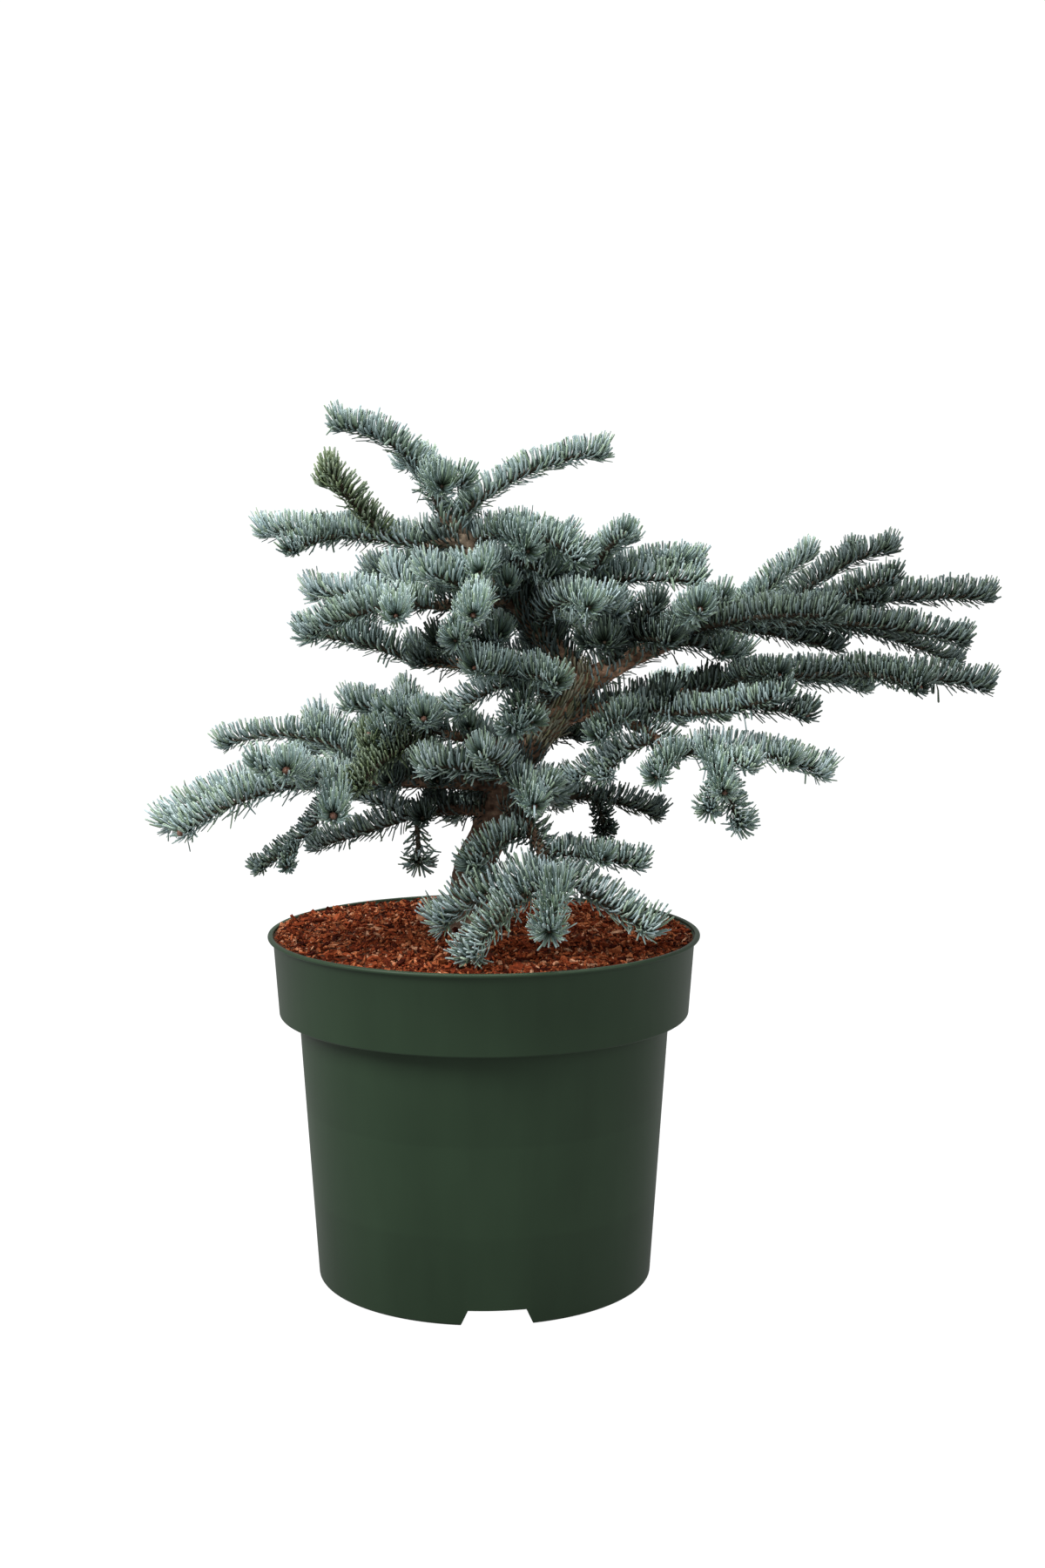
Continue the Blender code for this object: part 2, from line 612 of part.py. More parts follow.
def join_shoots(stem, shoots):
    """Fuse the shoots into their stem with one Boolean union, applied."""
    group = new_collection(stem.name + "_shoots")
    for shoot in shoots:
        TREE.objects.unlink(shoot)
        group.objects.link(shoot)
    modifier = stem.modifiers.new("fuse", "BOOLEAN")
    modifier.operation = "UNION"
    modifier.solver = "MANIFOLD"
    modifier.operand_type = "COLLECTION"
    modifier.collection = group
    graph = bpy.context.evaluated_depsgraph_get()
    fused = bpy.data.meshes.new_from_object(stem.evaluated_get(graph))
    stem.modifiers.clear()
    stem.data = fused
    for shoot in shoots:
        bpy.data.objects.remove(shoot, do_unlink=True)
    bpy.data.collections.remove(group)


def keep_main_shell(target):
    """Drop any sealed hollow or loose scrap that the union leaves beside the main shell."""
    work = bmesh.new()
    work.from_mesh(target.data)
    unseen = set(work.verts)
    shells = []
    while unseen:
        queue = [unseen.pop()]
        shell = set(queue)
        while queue:
            for edge in queue.pop().link_edges:
                fresh = unseen.intersection(edge.verts)
                unseen -= fresh
                shell |= fresh
                queue.extend(fresh)
        shells.append(shell)
    main = max(shells, key=len)
    bmesh.ops.delete(work, geom=[v for v in work.verts if v not in main], context="VERTS")
    work.to_mesh(target.data)
    work.free()


def build_masses(limbs):
    """Every mass of foliage: its shoots fused into one solid."""
    plans = plan_masses(limbs)
    limb_points = np.vstack([spread(path, radii) for path, radii in limbs.values()])
    points = {name: np.vstack([spread(path) for path in paths]) for name, paths in plans.items()}
    for number, (name, paths) in enumerate(plans.items()):
        dice = random.Random(SEED + number)
        others = np.vstack([points[key] for key in plans if key != name])
        spaces = (points[name], others, limb_points)
        limb, share, _ = MASSES[name]
        root = limbs[limb][1][-1] if share >= 1.0 else TWIG_RADIUS
        stem = add_shoot(name, paths[0], root, spaces, dice)
        shoots = [add_shoot("shoot", path, TWIG_RADIUS, spaces, dice) for path in paths[1:]]
        if shoots:
            join_shoots(stem, shoots)
            keep_main_shell(stem)


build_pot()
build_growing_mix()
build_masses(build_limbs())

TREE_ROOT = bpy.data.objects.new("noble_fir_root", None)
TREE.objects.link(TREE_ROOT)
for piece in TREE.objects:
    if piece is not TREE_ROOT:
        piece.parent = TREE_ROOT
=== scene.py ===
"""Potted noble fir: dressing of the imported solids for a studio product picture.

Metres and +Z up in the world. The tables and the rule that grows the plant are in millimetres
and degrees, from the centre of the pot's flat underside, with Y away from the viewer.
"""

import math
import random

import bpy
import numpy as np
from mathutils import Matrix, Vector, noise


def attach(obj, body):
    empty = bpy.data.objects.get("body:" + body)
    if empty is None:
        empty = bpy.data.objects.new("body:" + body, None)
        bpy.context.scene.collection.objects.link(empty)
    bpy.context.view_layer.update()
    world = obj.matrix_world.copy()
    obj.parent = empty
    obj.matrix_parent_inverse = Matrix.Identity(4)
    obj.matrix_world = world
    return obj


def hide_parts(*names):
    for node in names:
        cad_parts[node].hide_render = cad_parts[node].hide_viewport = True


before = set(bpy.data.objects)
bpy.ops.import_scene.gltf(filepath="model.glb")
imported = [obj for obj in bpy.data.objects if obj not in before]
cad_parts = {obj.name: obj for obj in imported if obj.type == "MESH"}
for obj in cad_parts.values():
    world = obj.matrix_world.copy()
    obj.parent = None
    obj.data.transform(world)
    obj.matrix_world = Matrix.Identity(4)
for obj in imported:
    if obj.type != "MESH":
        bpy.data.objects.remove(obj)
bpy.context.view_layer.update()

MM = 0.001
UP = Vector((0.0, 0.0, 1.0))

# Pot: a 28 cm nursery pot with a stacking collar and three drainage notches.
POT_HEIGHT = 226.0
POT_WALL = 2.2
POT_FLOOR = 3.0
BASE_RADIUS = 109.0
NECK_RADIUS = 120.5
COLLAR_BOTTOM = 174.0
COLLAR_LOW_RADIUS = 133.0
COLLAR_TOP_RADIUS = 136.5
COLLAR_ROUND = 1.3
LIP_RADIUS = 140.0
LIP_ROUND = 1.25
RIM_WIDTH = 3.5
RIM_ROUND = 0.8
POT_STEPS = 160
# Faint rings of the moulding, and darker towards the bottom: share of the height and shade of the colour.
POT_BANDS = (
    (0.0, (0.88, 0.88, 0.88)), (0.24, (0.92, 0.92, 0.92)), (0.255, (1.0, 1.0, 1.0)),
    (0.50, (1.04, 1.04, 1.04)), (0.51, (0.97, 0.97, 0.97)), (1.0, (1.0, 1.0, 1.0)))
NOTCH_COUNT = 3
NOTCH_HEIGHT = 10.0
NOTCH_DEPTH = 32.0
NOTCH_PROUD = 6.0
NOTCH_TOP_WIDTH = 36.0
NOTCH_LOW_WIDTH = 45.0
NOTCH_FIRST_HEADING = -85.0
NOTCH_WALL = 2.0
SOIL_TOP = 222.0

# Sorts of bark chip: number, usual and greatest length, width as a share of it, sections.
CHIP_SORTS = (
    (6600, 2.5, 5.5, 0.50, 1),
    (2700, 5.0, 12.0, 0.22, 2),
    (80, 10.0, 15.0, 0.30, 2),
)

# Trunk with its leader, from the soil to the top whorl: x, y, z, radius.
TRUNK_BENDS = (
    (-13, 16, 230, 12.3),
    (-12, 15, 242, 12.1),
    (-7, 12, 266, 12.0),
    (5, 8, 292, 12.2),
    (16, 3, 322, 11.2),
    (30, 0, 348, 10.4),
    (48, -4, 370, 10.8),
    (59, -5, 385, 10.6),
    (55, -4, 396, 9.2),
    (39, 0, 415, 7.8),
    (17, 4, 445, 7.0),
    (-9, 8, 475, 6.2),
    (-26, 10, 492, 5.4),
)
FOOT_HEIGHT = 222.3
FOOT_RADIUS = 16.5
TRUNK_STEP = 11.0
BEND_SAMPLES = 12

# Boughs: parent, share along it, heading, rise, length, arch in hundredths of the length,
# radius at the root and at the tip.
BOUGHS = {
    "right_limb": ("trunk", 0.55, 5, 21, 125, 8, 7.9, 4.6),
    "right_lower_bough": ("trunk", 0.485, -18, 13, 92, 1, 5.0, 3.0),
    "right_hanging_bough": ("right_lower_bough", 0.36, -44, -20, 68, 6, 3.4, 2.7),
    "left_upper_bough": ("trunk", 0.93, -159, -4, 28, 5, 3.6, 2.8),
    "left_shelf_bough": ("trunk", 0.78, -135, -1, 69, 3, 4.6, 3.0),
    "left_middle_bough": ("trunk", 0.64, 164, -2, 100, -3, 4.6, 3.0),
    "left_mid_bough": ("trunk", 0.41, -150, 13, 62, 0, 3.8, 2.7),
    "left_lower_bough": ("trunk", 0.335, -156, 4, 101, 0, 5.6, 3.2),
    "left_second_bough": ("trunk", 0.27, -154, 4, 53, 3, 3.8, 2.7),
    "low_front_bough": ("trunk", 0.295, -66, -25, 80, 10, 4.6, 2.9),
    "low_right_bough": ("trunk", 0.335, -18, -10, 40, 4, 3.2, 2.5),
    "front_centre_bough": ("trunk", 0.375, -93, -3, 46, 5, 3.4, 2.6),
    "leader_right_bough": ("trunk", 0.75, -25, 23, 45, 3, 3.8, 2.8),
    "back_left_bough": ("trunk", 0.35, 131, 1, 55, 3, 4.6, 3.2),
    "back_right_bough": ("trunk", 0.43, 51, 6, 54, 3, 4.6, 3.2),
    "back_top_bough": ("trunk", 0.77, 96, 14, 40, 3, 4.2, 3.0),
    "back_limb_bough": ("right_limb", 0.61, 66, 4, 49, 3, 3.8, 2.8),
    "back_low_bough": ("trunk", 0.295, 83, -11, 45, 5, 4.2, 3.0),
}
BOUGH_STEP = 14.0
COLLAR_SWELL = 0.25
COLLAR_LENGTH = 10.0

# Foliage masses: limb, share along it, then the shoots. The first shoot is the stem that leaves
# the limb, and the others leave the stem. Each has its share along the stem, heading, rise,
# length and arch.
MASSES = {
    "top_left_foliage": ("trunk", 1.0, (
        (0, -161, 40, 90, 17), (0.20, -82, 0, 66, 4), (0.24, 98, 14, 55, 5))),
    "top_right_foliage": ("trunk", 0.98, (
        (0, -3, 25, 107, 9), (0.20, 100, -6, 46, 3))),
    "upper_left_foliage": ("left_upper_bough", 1.0, (
        (0, -173, 5, 103, 3), (0.50, -131, -11, 49, 3), (0.22, -139, 43, 67, -5),
        (0.30, 132, 2, 52, 5))),
    "upper_front_foliage": ("trunk", 0.93, (
        (0, -40, -6, 91, 12), (0.26, -70, -10, 58, 7), (0.45, 45, -14, 40, 3))),
    "leader_foliage": ("trunk", 0.87, (
        (0, -43, -7, 54, 10), (0.15, -100, -4, 60, 3), (0.50, 80, -26, 52, 3))),
    "right_of_leader_foliage": ("leader_right_bough", 1.0, (
        (0, -59, 37, 54, 8), (0.10, 3, 9, 69, 6), (0.05, -21, 1, 71, 4),
        (0.30, 80, 11, 46, 5))),
    "centre_fan_foliage": ("trunk", 0.71, (
        (0, -68, 12, 83, 13), (0.35, -25, -4, 45, 8))),
    "left_shelf_foliage": ("left_shelf_bough", 1.0, (
        (0, -157, -11, 85, 8), (0.30, -88, -3, 65, 3), (0.25, 161, 6, 61, 3),
        (0.10, 127, 29, 41, 3))),
    "left_inner_foliage": ("left_shelf_bough", 0.45, (
        (0, -92, -3, 98, 5), (0.25, -150, 23, 41, 5), (0.35, -109, -30, 48, 0))),
    "left_under_foliage": ("left_middle_bough", 1.0, (
        (0, -177, 14, 69, 5), (0.35, 127, 25, 53, 5))),
    "left_under_inner_foliage": ("left_middle_bough", 0.45, (
        (0, -124, 15, 62, 5), (0.30, -61, 23, 32, 5), (0.20, -50, -23, 36, 0))),
    "right_tip_foliage": ("right_limb", 1.0, (
        (0, -4, 7, 151, 4), (0.26, -42, 19, 64, 3), (0.12, 14, 30, 88, 9))),
    "right_back_fan_foliage": ("right_limb", 0.88, (
        (0, 38, 32, 86, 2), (0.25, 80, 4, 24, 5))),
    "right_inner_fan_foliage": ("right_limb", 0.60, (
        (0, -51, 31, 52, 5), (0.30, 66, 8, 30, 3))),
    "right_lower_tip_foliage": ("right_limb", 0.76, (
        (0, -18, -1, 164, 5), (0.35, 21, -13, 122, 5), (0.15, -5, -12, 62, 0))),
    "right_front_foliage": ("right_limb", 0.42, (
        (0, -36, 11, 138, 6), (0.20, -84, 14, 86, 4), (0.15, -20, -11, 48, 4))),
    "limb_inner_foliage": ("right_limb", 0.20, (
        (0, -57, 38, 71, 5), (0.30, -100, 8, 54, 5), (0.20, 85, 47, 49, 5),
        (0.50, -57, -1, 45, 0))),
    "lower_tip_foliage": ("right_lower_bough", 1.0, (
        (0, -10, 2, 184, 5), (0.54, -59, -3, 69, 4), (0.15, -71, 8, 72, 4),
        (0.30, 12, -6, 60, 4))),
    "lower_middle_foliage": ("right_lower_bough", 0.52, (
        (0, -42, 6, 128, -6), (0.17, -127, -14, 54, 8), (0.66, -30, -1, 52, 6))),
    "comb_foliage": ("right_hanging_bough", 0.76, (
        (0, -163, -24, 60, 3), (0.35, -140, -38, 24, 3))),
    "hanging_foliage": ("right_hanging_bough", 1.0, (
        (0, -14, -6, 92, 7), (0.06, -117, -16, 42, 8), (0.20, -84, -15, 68, 8),
        (0.22, -57, -51, 54, 0))),
    "low_right_foliage": ("low_right_bough", 1.0, (
        (0, 6, -12, 59, 5), (0.30, -77, -37, 31, 10))),
    "front_centre_foliage": ("front_centre_bough", 1.0, (
        (0, -75, -13, 51, 5), (0.10, -122, 26, 44, 5), (0.06, -156, 9, 60, 5),
        (0.12, -20, -12, 29, 5))),
    "centre_upper_foliage": ("trunk", 0.52, (
        (0, -121, 17, 107, 6), (0.55, -55, -2, 43, 5), (0.40, -103, -30, 50, 5),
        (0.50, -158, -24, 47, 5))),
    "left_low_back_foliage": ("left_lower_bough", 0.82, (
        (0, 168, 11, 110, 14), (0.14, 138, 27, 52, 5), (0.08, -93, 34, 44, -6))),
    "left_low_end_foliage": ("left_lower_bough", 1.0, (
        (0, -149, -11, 121, 8), (0.34, -90, 12, 80, 5), (0.35, -179, -17, 84, 9),
        (0.12, -88, -8, 82, 5), (0.10, -155, -43, 78, -8))),
    "left_second_foliage": ("left_second_bough", 1.0, (
        (0, -166, -16, 72, -1), (0.06, -84, -52, 36, 4), (0.10, -178, 20, 40, 3))),
    "left_mid_foliage": ("left_mid_bough", 1.0, (
        (0, -171, 17, 62, 7), (0.12, -92, 10, 66, 5), (0.15, -127, -4, 45, 3),
        (0.08, -130, -22, 77, 5), (0.30, 106, 21, 34, 5))),
    "front_left_foliage": ("low_front_bough", 0.58, (
        (0, -134, -19, 54, 7),)),
    "front_right_foliage": ("low_front_bough", 0.84, (
        (0, -20, -4, 64, 2),)),
    "front_low_foliage": ("low_front_bough", 1.0, (
        (0, -25, -26, 74, 0), (0.08, -164, -20, 78, 6), (0.14, -98, -20, 66, 8),
        (0.10, -137, -30, 84, 8))),
    "back_left_foliage": ("back_left_bough", 1.0, (
        (0, 140, 0, 150, 6), (0.20, 91, -8, 67, 5), (0.20, -172, -30, 40, 5),
        (0.50, 99, 3, 69, 5), (0.50, 176, -30, 52, 5))),
    "back_right_foliage": ("back_right_bough", 1.0, (
        (0, 43, 2, 148, 5), (0.20, 93, -13, 57, 5), (0.20, 3, -3, 45, 5),
        (0.50, 84, 4, 71, 5), (0.50, 5, 7, 69, 5))),
    "back_top_foliage": ("back_top_bough", 1.0, (
        (0, 95, 5, 109, 6), (0.20, 146, 6, 58, 5), (0.25, 39, 7, 50, 5),
        (0.50, 65, 8, 55, 5))),
    "back_limb_foliage": ("back_limb_bough", 1.0, (
        (0, 51, 5, 135, 6), (0.24, 101, 5, 57, 5), (0.30, 22, -17, 56, 5),
        (0.50, 85, 0, 66, 5))),
    "back_low_foliage": ("back_low_bough", 1.0, (
        (0, 91, -12, 104, 8), (0.20, 51, -9, 55, 5), (0.20, 142, -17, 51, 5),
        (0.50, 116, -10, 56, 5))),
    "back_middle_foliage": ("trunk", 0.66, (
        (0, 97, -1, 113, 8), (0.40, 118, 3, 88, 5), (0.45, 56, 3, 85, 5))),
    "back_upper_foliage": ("trunk", 0.90, (
        (0, 100, 4, 84, 8), (0.25, 145, 2, 50, 5), (0.35, 55, 4, 52, 5))),
    "back_shelf_foliage": ("trunk", 0.815, (
        (0, 152, 3, 100, 6), (0.35, 110, 4, 62, 5), (0.45, 178, 2, 44, 3))),
}
SHOOT_STEP = 12.0

# Kinds of needle, as base colours of the dark root, the middle and the pale tip.
# The dark root is painted shade where the needles crowd at the twig, with a little of the base's greener hue.
NEEDLE_KINDS = {
    "glaucous": ((0.100, 0.128, 0.088), (0.395, 0.505, 0.497), (0.465, 0.560, 0.558)),
    "blue": ((0.068, 0.088, 0.057), (0.265, 0.347, 0.333), (0.335, 0.420, 0.411)),
    "dark": ((0.034, 0.045, 0.028), (0.083, 0.113, 0.103), (0.140, 0.182, 0.174)),
    # Old needles are olive-brown, made paler as painted light on the fork where they grow.
    "old": ((0.105, 0.090, 0.060), (0.355, 0.335, 0.235), (0.45, 0.435, 0.32)),
    "green": ((0.046, 0.060, 0.030), (0.160, 0.205, 0.122), (0.29, 0.355, 0.255)),
}
# Keel darkening: painted shade on each needle's underside, with a little of the underside's greener hue.
KEEL_SHADE = (0.42, 0.48, 0.40)

# Chances of glaucous, blue and dark for the sprays of a mass, from the palest to the darkest.
# Pale kinds: fresh growth plus painted light on lit masses; dark ones: painted shade inside, under, on the right.
FRESH_AND_LIT = (0.80, 0.20, 0.00)
LIGHT = (0.45, 0.50, 0.05)
MIXED = (0.15, 0.65, 0.20)
SHADED = (0.00, 0.40, 0.60)
DARKEST = (0.00, 0.20, 0.80)
SPRAY_CHANCES = {
    "top_left_foliage": LIGHT,
    "top_right_foliage": LIGHT,
    "upper_front_foliage": LIGHT,
    "left_shelf_foliage": FRESH_AND_LIT,
    "left_inner_foliage": FRESH_AND_LIT,
    "centre_fan_foliage": FRESH_AND_LIT,
    "front_centre_foliage": FRESH_AND_LIT,
    "centre_upper_foliage": LIGHT,
    "hanging_foliage": FRESH_AND_LIT,
    "front_low_foliage": FRESH_AND_LIT,
    "front_right_foliage": MIXED,
    "left_second_foliage": MIXED,
    "left_low_end_foliage": FRESH_AND_LIT,
    "left_low_back_foliage": LIGHT,
    "left_mid_foliage": LIGHT,
    "right_of_leader_foliage": LIGHT,
    "leader_foliage": MIXED,
    "comb_foliage": MIXED,
    "low_right_foliage": SHADED,
    "left_under_foliage": SHADED,
    "left_under_inner_foliage": SHADED,
    "limb_inner_foliage": SHADED,
    "lower_middle_foliage": MIXED,
    "right_tip_foliage": DARKEST,
    "right_back_fan_foliage": SHADED,
    "right_front_foliage": SHADED,
    "right_lower_tip_foliage": DARKEST,
    "lower_tip_foliage": DARKEST,
}
SHOOT_KINDS = {
    ("upper_left_foliage", 2): "green",
    ("left_low_back_foliage", 2): "green",
    ("left_mid_foliage", 3): "green",
    ("left_low_end_foliage", 4): "blue",
    ("left_low_back_foliage", 0): "blue",
    # The hanging shoots are glaucous, their own pale colour and painted light where the crown shades them.
    ("left_second_foliage", 1): "glaucous",
    ("hanging_foliage", 0): "glaucous",
    ("hanging_foliage", 1): "glaucous",
    ("hanging_foliage", 2): "glaucous",
    ("top_left_foliage", 0): "blue",
    ("top_right_foliage", 0): "blue",
}
# Single shoots whose needles are shorter than their mass's.
SHORT_SHOOTS = {
    ("left_low_end_foliage", 4): 0.62,
    ("left_low_back_foliage", 0): 0.76,
    ("top_left_foliage", 0): 0.88,
    ("low_right_foliage", 1): 0.85,
    ("upper_left_foliage", 1): 0.85,
    ("left_second_foliage", 1): 1.15,
}

# Needles, in mm: real size, set round the twig in the golden angle. They leave it sideways and
# curve up, so that a spray is a brush above its twig.
NEEDLE_LENGTH = 16.6
NEEDLE_WIDTH = 1.45
NEEDLE_THICKNESS = 0.66
NEEDLE_RINGS = (0.0, 0.50, 0.955)
RING_WIDTHS = (0.72, 1.0, 0.80)
NEEDLES_PER_MM = 3.5
SHOOT_DENSITIES = {
    ("top_left_foliage", 0): 1.3,
    ("top_right_foliage", 0): 1.1,
    ("left_second_foliage", 1): 0.40,
    ("left_low_back_foliage", 0): 0.8,
}
BOUGH_NEEDLES_PER_MM = 2.8
STAR_NEEDLES = 42
GOLDEN_ANGLE = math.pi * (3 - math.sqrt(5))
SWEEP = 0.95
WAVE_LENGTH = 6.0
PIECE_TRIANGLES = 190000
STRAY_SHARE = 0.006
TWIG_ROOT = 1.9
TWIG_TIP = 1.25
SIDE_TWIG_LENGTH = (20.0, 34.0)
SIDE_TWIG_CHANCE = 0.25
INNER_TWIG_STEP = 19.0
INNER_TWIG_LENGTH = (20.0, 33.0)
SEED = 20

# Stretches of the trunk that carry needles: two shares along it, needles per mm, their kind and
# how far they are pressed to the bark.
# The dark kind is painted shade inside the crown; the old kind is made pale as painted light on the fork.
TRUNK_NEEDLES = (
    (0.33, 0.43, 3.0, "dark", 0.7),
    (0.42, 0.60, 8.0, "old", 0.9),
    (0.60, 0.80, 5.4, "dark", 0.3),
    (0.80, 0.89, 3.8, "blue", 0.0),
    (0.89, 0.945, 0.8, "dark", 0.0),
    (0.945, 1.0, 4.6, "blue", 0.0),
)

# Radius of the bud at the end of each shoot of a mass, in the shoots' order, 0 for none. Other
# masses have small ones by chance.
BUDS = {
    "upper_left_foliage": (1.4, 0, 1.6, 0),
    "right_of_leader_foliage": (1.6, 0, 0, 0),
    "top_left_foliage": (0, 0, 0),
    "upper_front_foliage": (0, 0, 0),
    "comb_foliage": (0, 0),
    "top_right_foliage": (1.1, 0),
    "left_shelf_foliage": (2.0, 1.6, 0, 0),
    "left_inner_foliage": (1.6, 0, 0),
    "right_tip_foliage": (1.3, 1.8, 0),
    "right_front_foliage": (0, 1.6, 0),
    "lower_tip_foliage": (0, 1.5, 1.4, 0),
    "hanging_foliage": (0, 0, 1.5, 0),
    "front_centre_foliage": (1.6, 0, 0, 0),
    "centre_upper_foliage": (1.5, 0, 0, 0),
    "left_low_back_foliage": (1.5, 0, 2.8),
    "left_low_end_foliage": (3.3, 2.8, 3.2, 2.6, 0),
    "left_mid_foliage": (0, 1.8, 0, 0, 0),
}
BUD_CHANCE = 0.2
BUD_RADIUS = 1.4
BUD_SCALES = 9

# Tint of the bark at heights above the ground, in m. The bright tint at 0.385 m is painted light on the fork.
BARK_TINTS_AND_FORK_LIGHT = (
    (0.25, (0.98, 0.83, 0.75)),
    (0.33, (1.15, 0.94, 0.82)),
    (0.385, (2.55, 1.92, 1.60)),
    (0.45, (1.12, 1.09, 1.00)),
)

# Masses with shorter needles than the rest, as a share of the usual length.
SHORT_NEEDLES = {
    "left_second_foliage": 0.82,
    "comb_foliage": 0.76,
    "hanging_foliage": 0.88,
    "lower_middle_foliage": 0.84,
    "left_low_end_foliage": 0.98,
    "front_low_foliage": 1.2,
    "front_right_foliage": 0.78,
    "low_right_foliage": 0.80,
    "top_right_foliage": 0.82,
    "upper_left_foliage": 0.88,
    "right_tip_foliage": 0.84,
    "right_lower_tip_foliage": 0.84,
    "lower_tip_foliage": 0.84,
    "right_of_leader_foliage": 0.88,
    "right_back_fan_foliage": 0.88,
}

# Boughs whose inside is filled with short twigs, and the share from which they start.
INNER_TWIG_STARTS = {
    "right_limb": 0.45,
    "right_lower_bough": 0.75,
    "left_shelf_bough": 0.15,
    "left_middle_bough": 0.30,
    "left_mid_bough": 0.25,
    "left_lower_bough": 0.20,
    "left_second_bough": 0.50,
    "leader_right_bough": 0.25,
    "back_left_bough": 0.3,
    "back_right_bough": 0.3,
    "back_top_bough": 0.3,
    "back_limb_bough": 0.3,
    "back_low_bough": 0.3,
}

# Light that the surround and the floor give, as shares of white.
STUDIO_AIR = 0.40
STUDIO_FLOOR = 0.26


def unit(heading, rise):
    """Direction with a heading in the level plane and a rise above it, in degrees."""
    across = math.cos(math.radians(rise))
    east = across * math.cos(math.radians(heading))
    north = across * math.sin(math.radians(heading))
    return Vector((east, north, math.sin(math.radians(rise))))


def value_at(values, share):
    """Value at a share of a list of evenly spread vectors or numbers."""
    place = min(max(share, 0.0), 1.0) * (len(values) - 1)
    low = min(int(place), len(values) - 2)
    return values[low] + (values[low + 1] - values[low]) * (place - low)


def arched(start, end, arch, step):
    """Points of a limb from start to end that bows up by arch hundredths of its length."""
    length = (end - start).length
    along = (end - start) / length
    lift = (UP - along * along.dot(UP)).normalized()
    middle = (start + end) / 2 + lift * (2 * arch / 100 * length)
    count = max(3, round(length / step))
    points = []
    for index in range(count + 1):
        t = index / count
        points.append(start * (1 - t) ** 2 + middle * 2 * t * (1 - t) + end * t * t)
    return points


def smooth_path(bends, step):
    """Curve through the bends as rows a step apart, each with its radius as fourth number."""
    rows = np.array(bends, dtype=float)
    padded = np.vstack([2 * rows[0] - rows[1], rows, 2 * rows[-1] - rows[-2]])
    fine = []
    for a, b, c, d in zip(padded, padded[1:], padded[2:], padded[3:]):
        for t in np.linspace(0.0, 1.0, BEND_SAMPLES, endpoint=False):
            pull = (c - a) * t + (2 * a - 5 * b + 4 * c - d) * t ** 2
            fine.append(b + 0.5 * (pull + (3 * b - a - 3 * c + d) * t ** 3))
    fine = np.array(fine + [rows[-1]])
    steps = np.linalg.norm(np.diff(fine[:, :3], axis=0), axis=1)
    travel = np.concatenate([[0.0], np.cumsum(steps)])
    stations = np.linspace(0.0, travel[-1], round(travel[-1] / step) + 1)
    return np.column_stack([np.interp(stations, travel, fine[:, k]) for k in range(4)])


def plan_limbs():
    """Path and radii of the trunk and of each bough."""
    stations = smooth_path(TRUNK_BENDS, TRUNK_STEP)
    foot = Vector((stations[0][0], stations[0][1], FOOT_HEIGHT))
    path = [foot] + [Vector(row[:3]) for row in stations]
    limbs = {"trunk": (path, [FOOT_RADIUS] + [row[3] for row in stations])}
    for name, (parent, share, heading, rise, length, arch, root, tip) in BOUGHS.items():
        start = value_at(limbs[parent][0], share)
        path = arched(start, start + unit(heading, rise) * length, arch, BOUGH_STEP)
        radii = []
        for index in range(len(path)):
            travel = length * index / (len(path) - 1)
            swell = COLLAR_SWELL * root * math.exp(-travel / COLLAR_LENGTH)
            radii.append(root + (tip - root) * travel / length + swell)
        limbs[name] = (path, radii)
    return limbs


def plan_shoots(limbs):
    """Path of every shoot of every mass, its stem first, from inside the limb that carries it."""
    plans = {}
    for name, (limb, share, shoots) in MASSES.items():
        _, heading, rise, length, arch = shoots[0]
        start = value_at(limbs[limb][0], share)
        tip = start + unit(heading, rise) * length
        paths = [arched(start, tip, arch, SHOOT_STEP)]
        for own_share, heading, rise, length, arch in shoots[1:]:
            start = value_at(paths[0], own_share)
            paths.append(arched(start, start + unit(heading, rise) * length, arch, SHOOT_STEP))
        plans[name] = paths
    return plans


def resample(path, step):
    """Points a step apart along a path, with unit tangents, as arrays."""
    rows = np.array([tuple(point) for point in path])
    steps = np.linalg.norm(np.diff(rows, axis=0), axis=1)
    travel = np.concatenate([[0.0], np.cumsum(steps)])
    stations = np.linspace(0.0, travel[-1], max(4, round(travel[-1] / step) + 1))
    points = np.column_stack([np.interp(stations, travel, rows[:, k]) for k in range(3)])
    tangents = np.gradient(points, axis=0)
    return points, tangents / np.linalg.norm(tangents, axis=1)[:, None], stations


def normalised(rows):
    """Rows scaled to unit length."""
    return rows / np.maximum(np.linalg.norm(rows, axis=1), 1e-9)[:, None]


def mesh_object(name, points, quads, triangles, material, smooth=True, values=None):
    """Object from arrays of points in mm and of faces, with named values for each point."""
    mesh = bpy.data.meshes.new(name)
    mesh.vertices.add(len(points))
    mesh.vertices.foreach_set("co", (np.asarray(points) * MM).ravel())
    loops = np.concatenate([np.ravel(quads), np.ravel(triangles)]).astype(np.int32)
    mesh.loops.add(len(loops))
    mesh.loops.foreach_set("vertex_index", loops)
    sizes = np.concatenate([np.full(len(quads), 4), np.full(len(triangles), 3)])
    mesh.polygons.add(len(sizes))
    starts = np.concatenate([[0], np.cumsum(sizes)[:-1]]).astype(np.int32)
    mesh.polygons.foreach_set("loop_start", starts)
    mesh.polygons.foreach_set("use_smooth", np.full(len(sizes), smooth))
    for key, numbers in (values or {}).items():
        mesh.attributes.new(key, "FLOAT", "POINT").data.foreach_set("value", numbers)
    mesh.update(calc_edges=True)
    mesh.validate()
    mesh.materials.append(material)
    result = bpy.data.objects.new(name, mesh)
    bpy.context.scene.collection.objects.link(result)
    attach(result, "root")
    return result


# Materials.


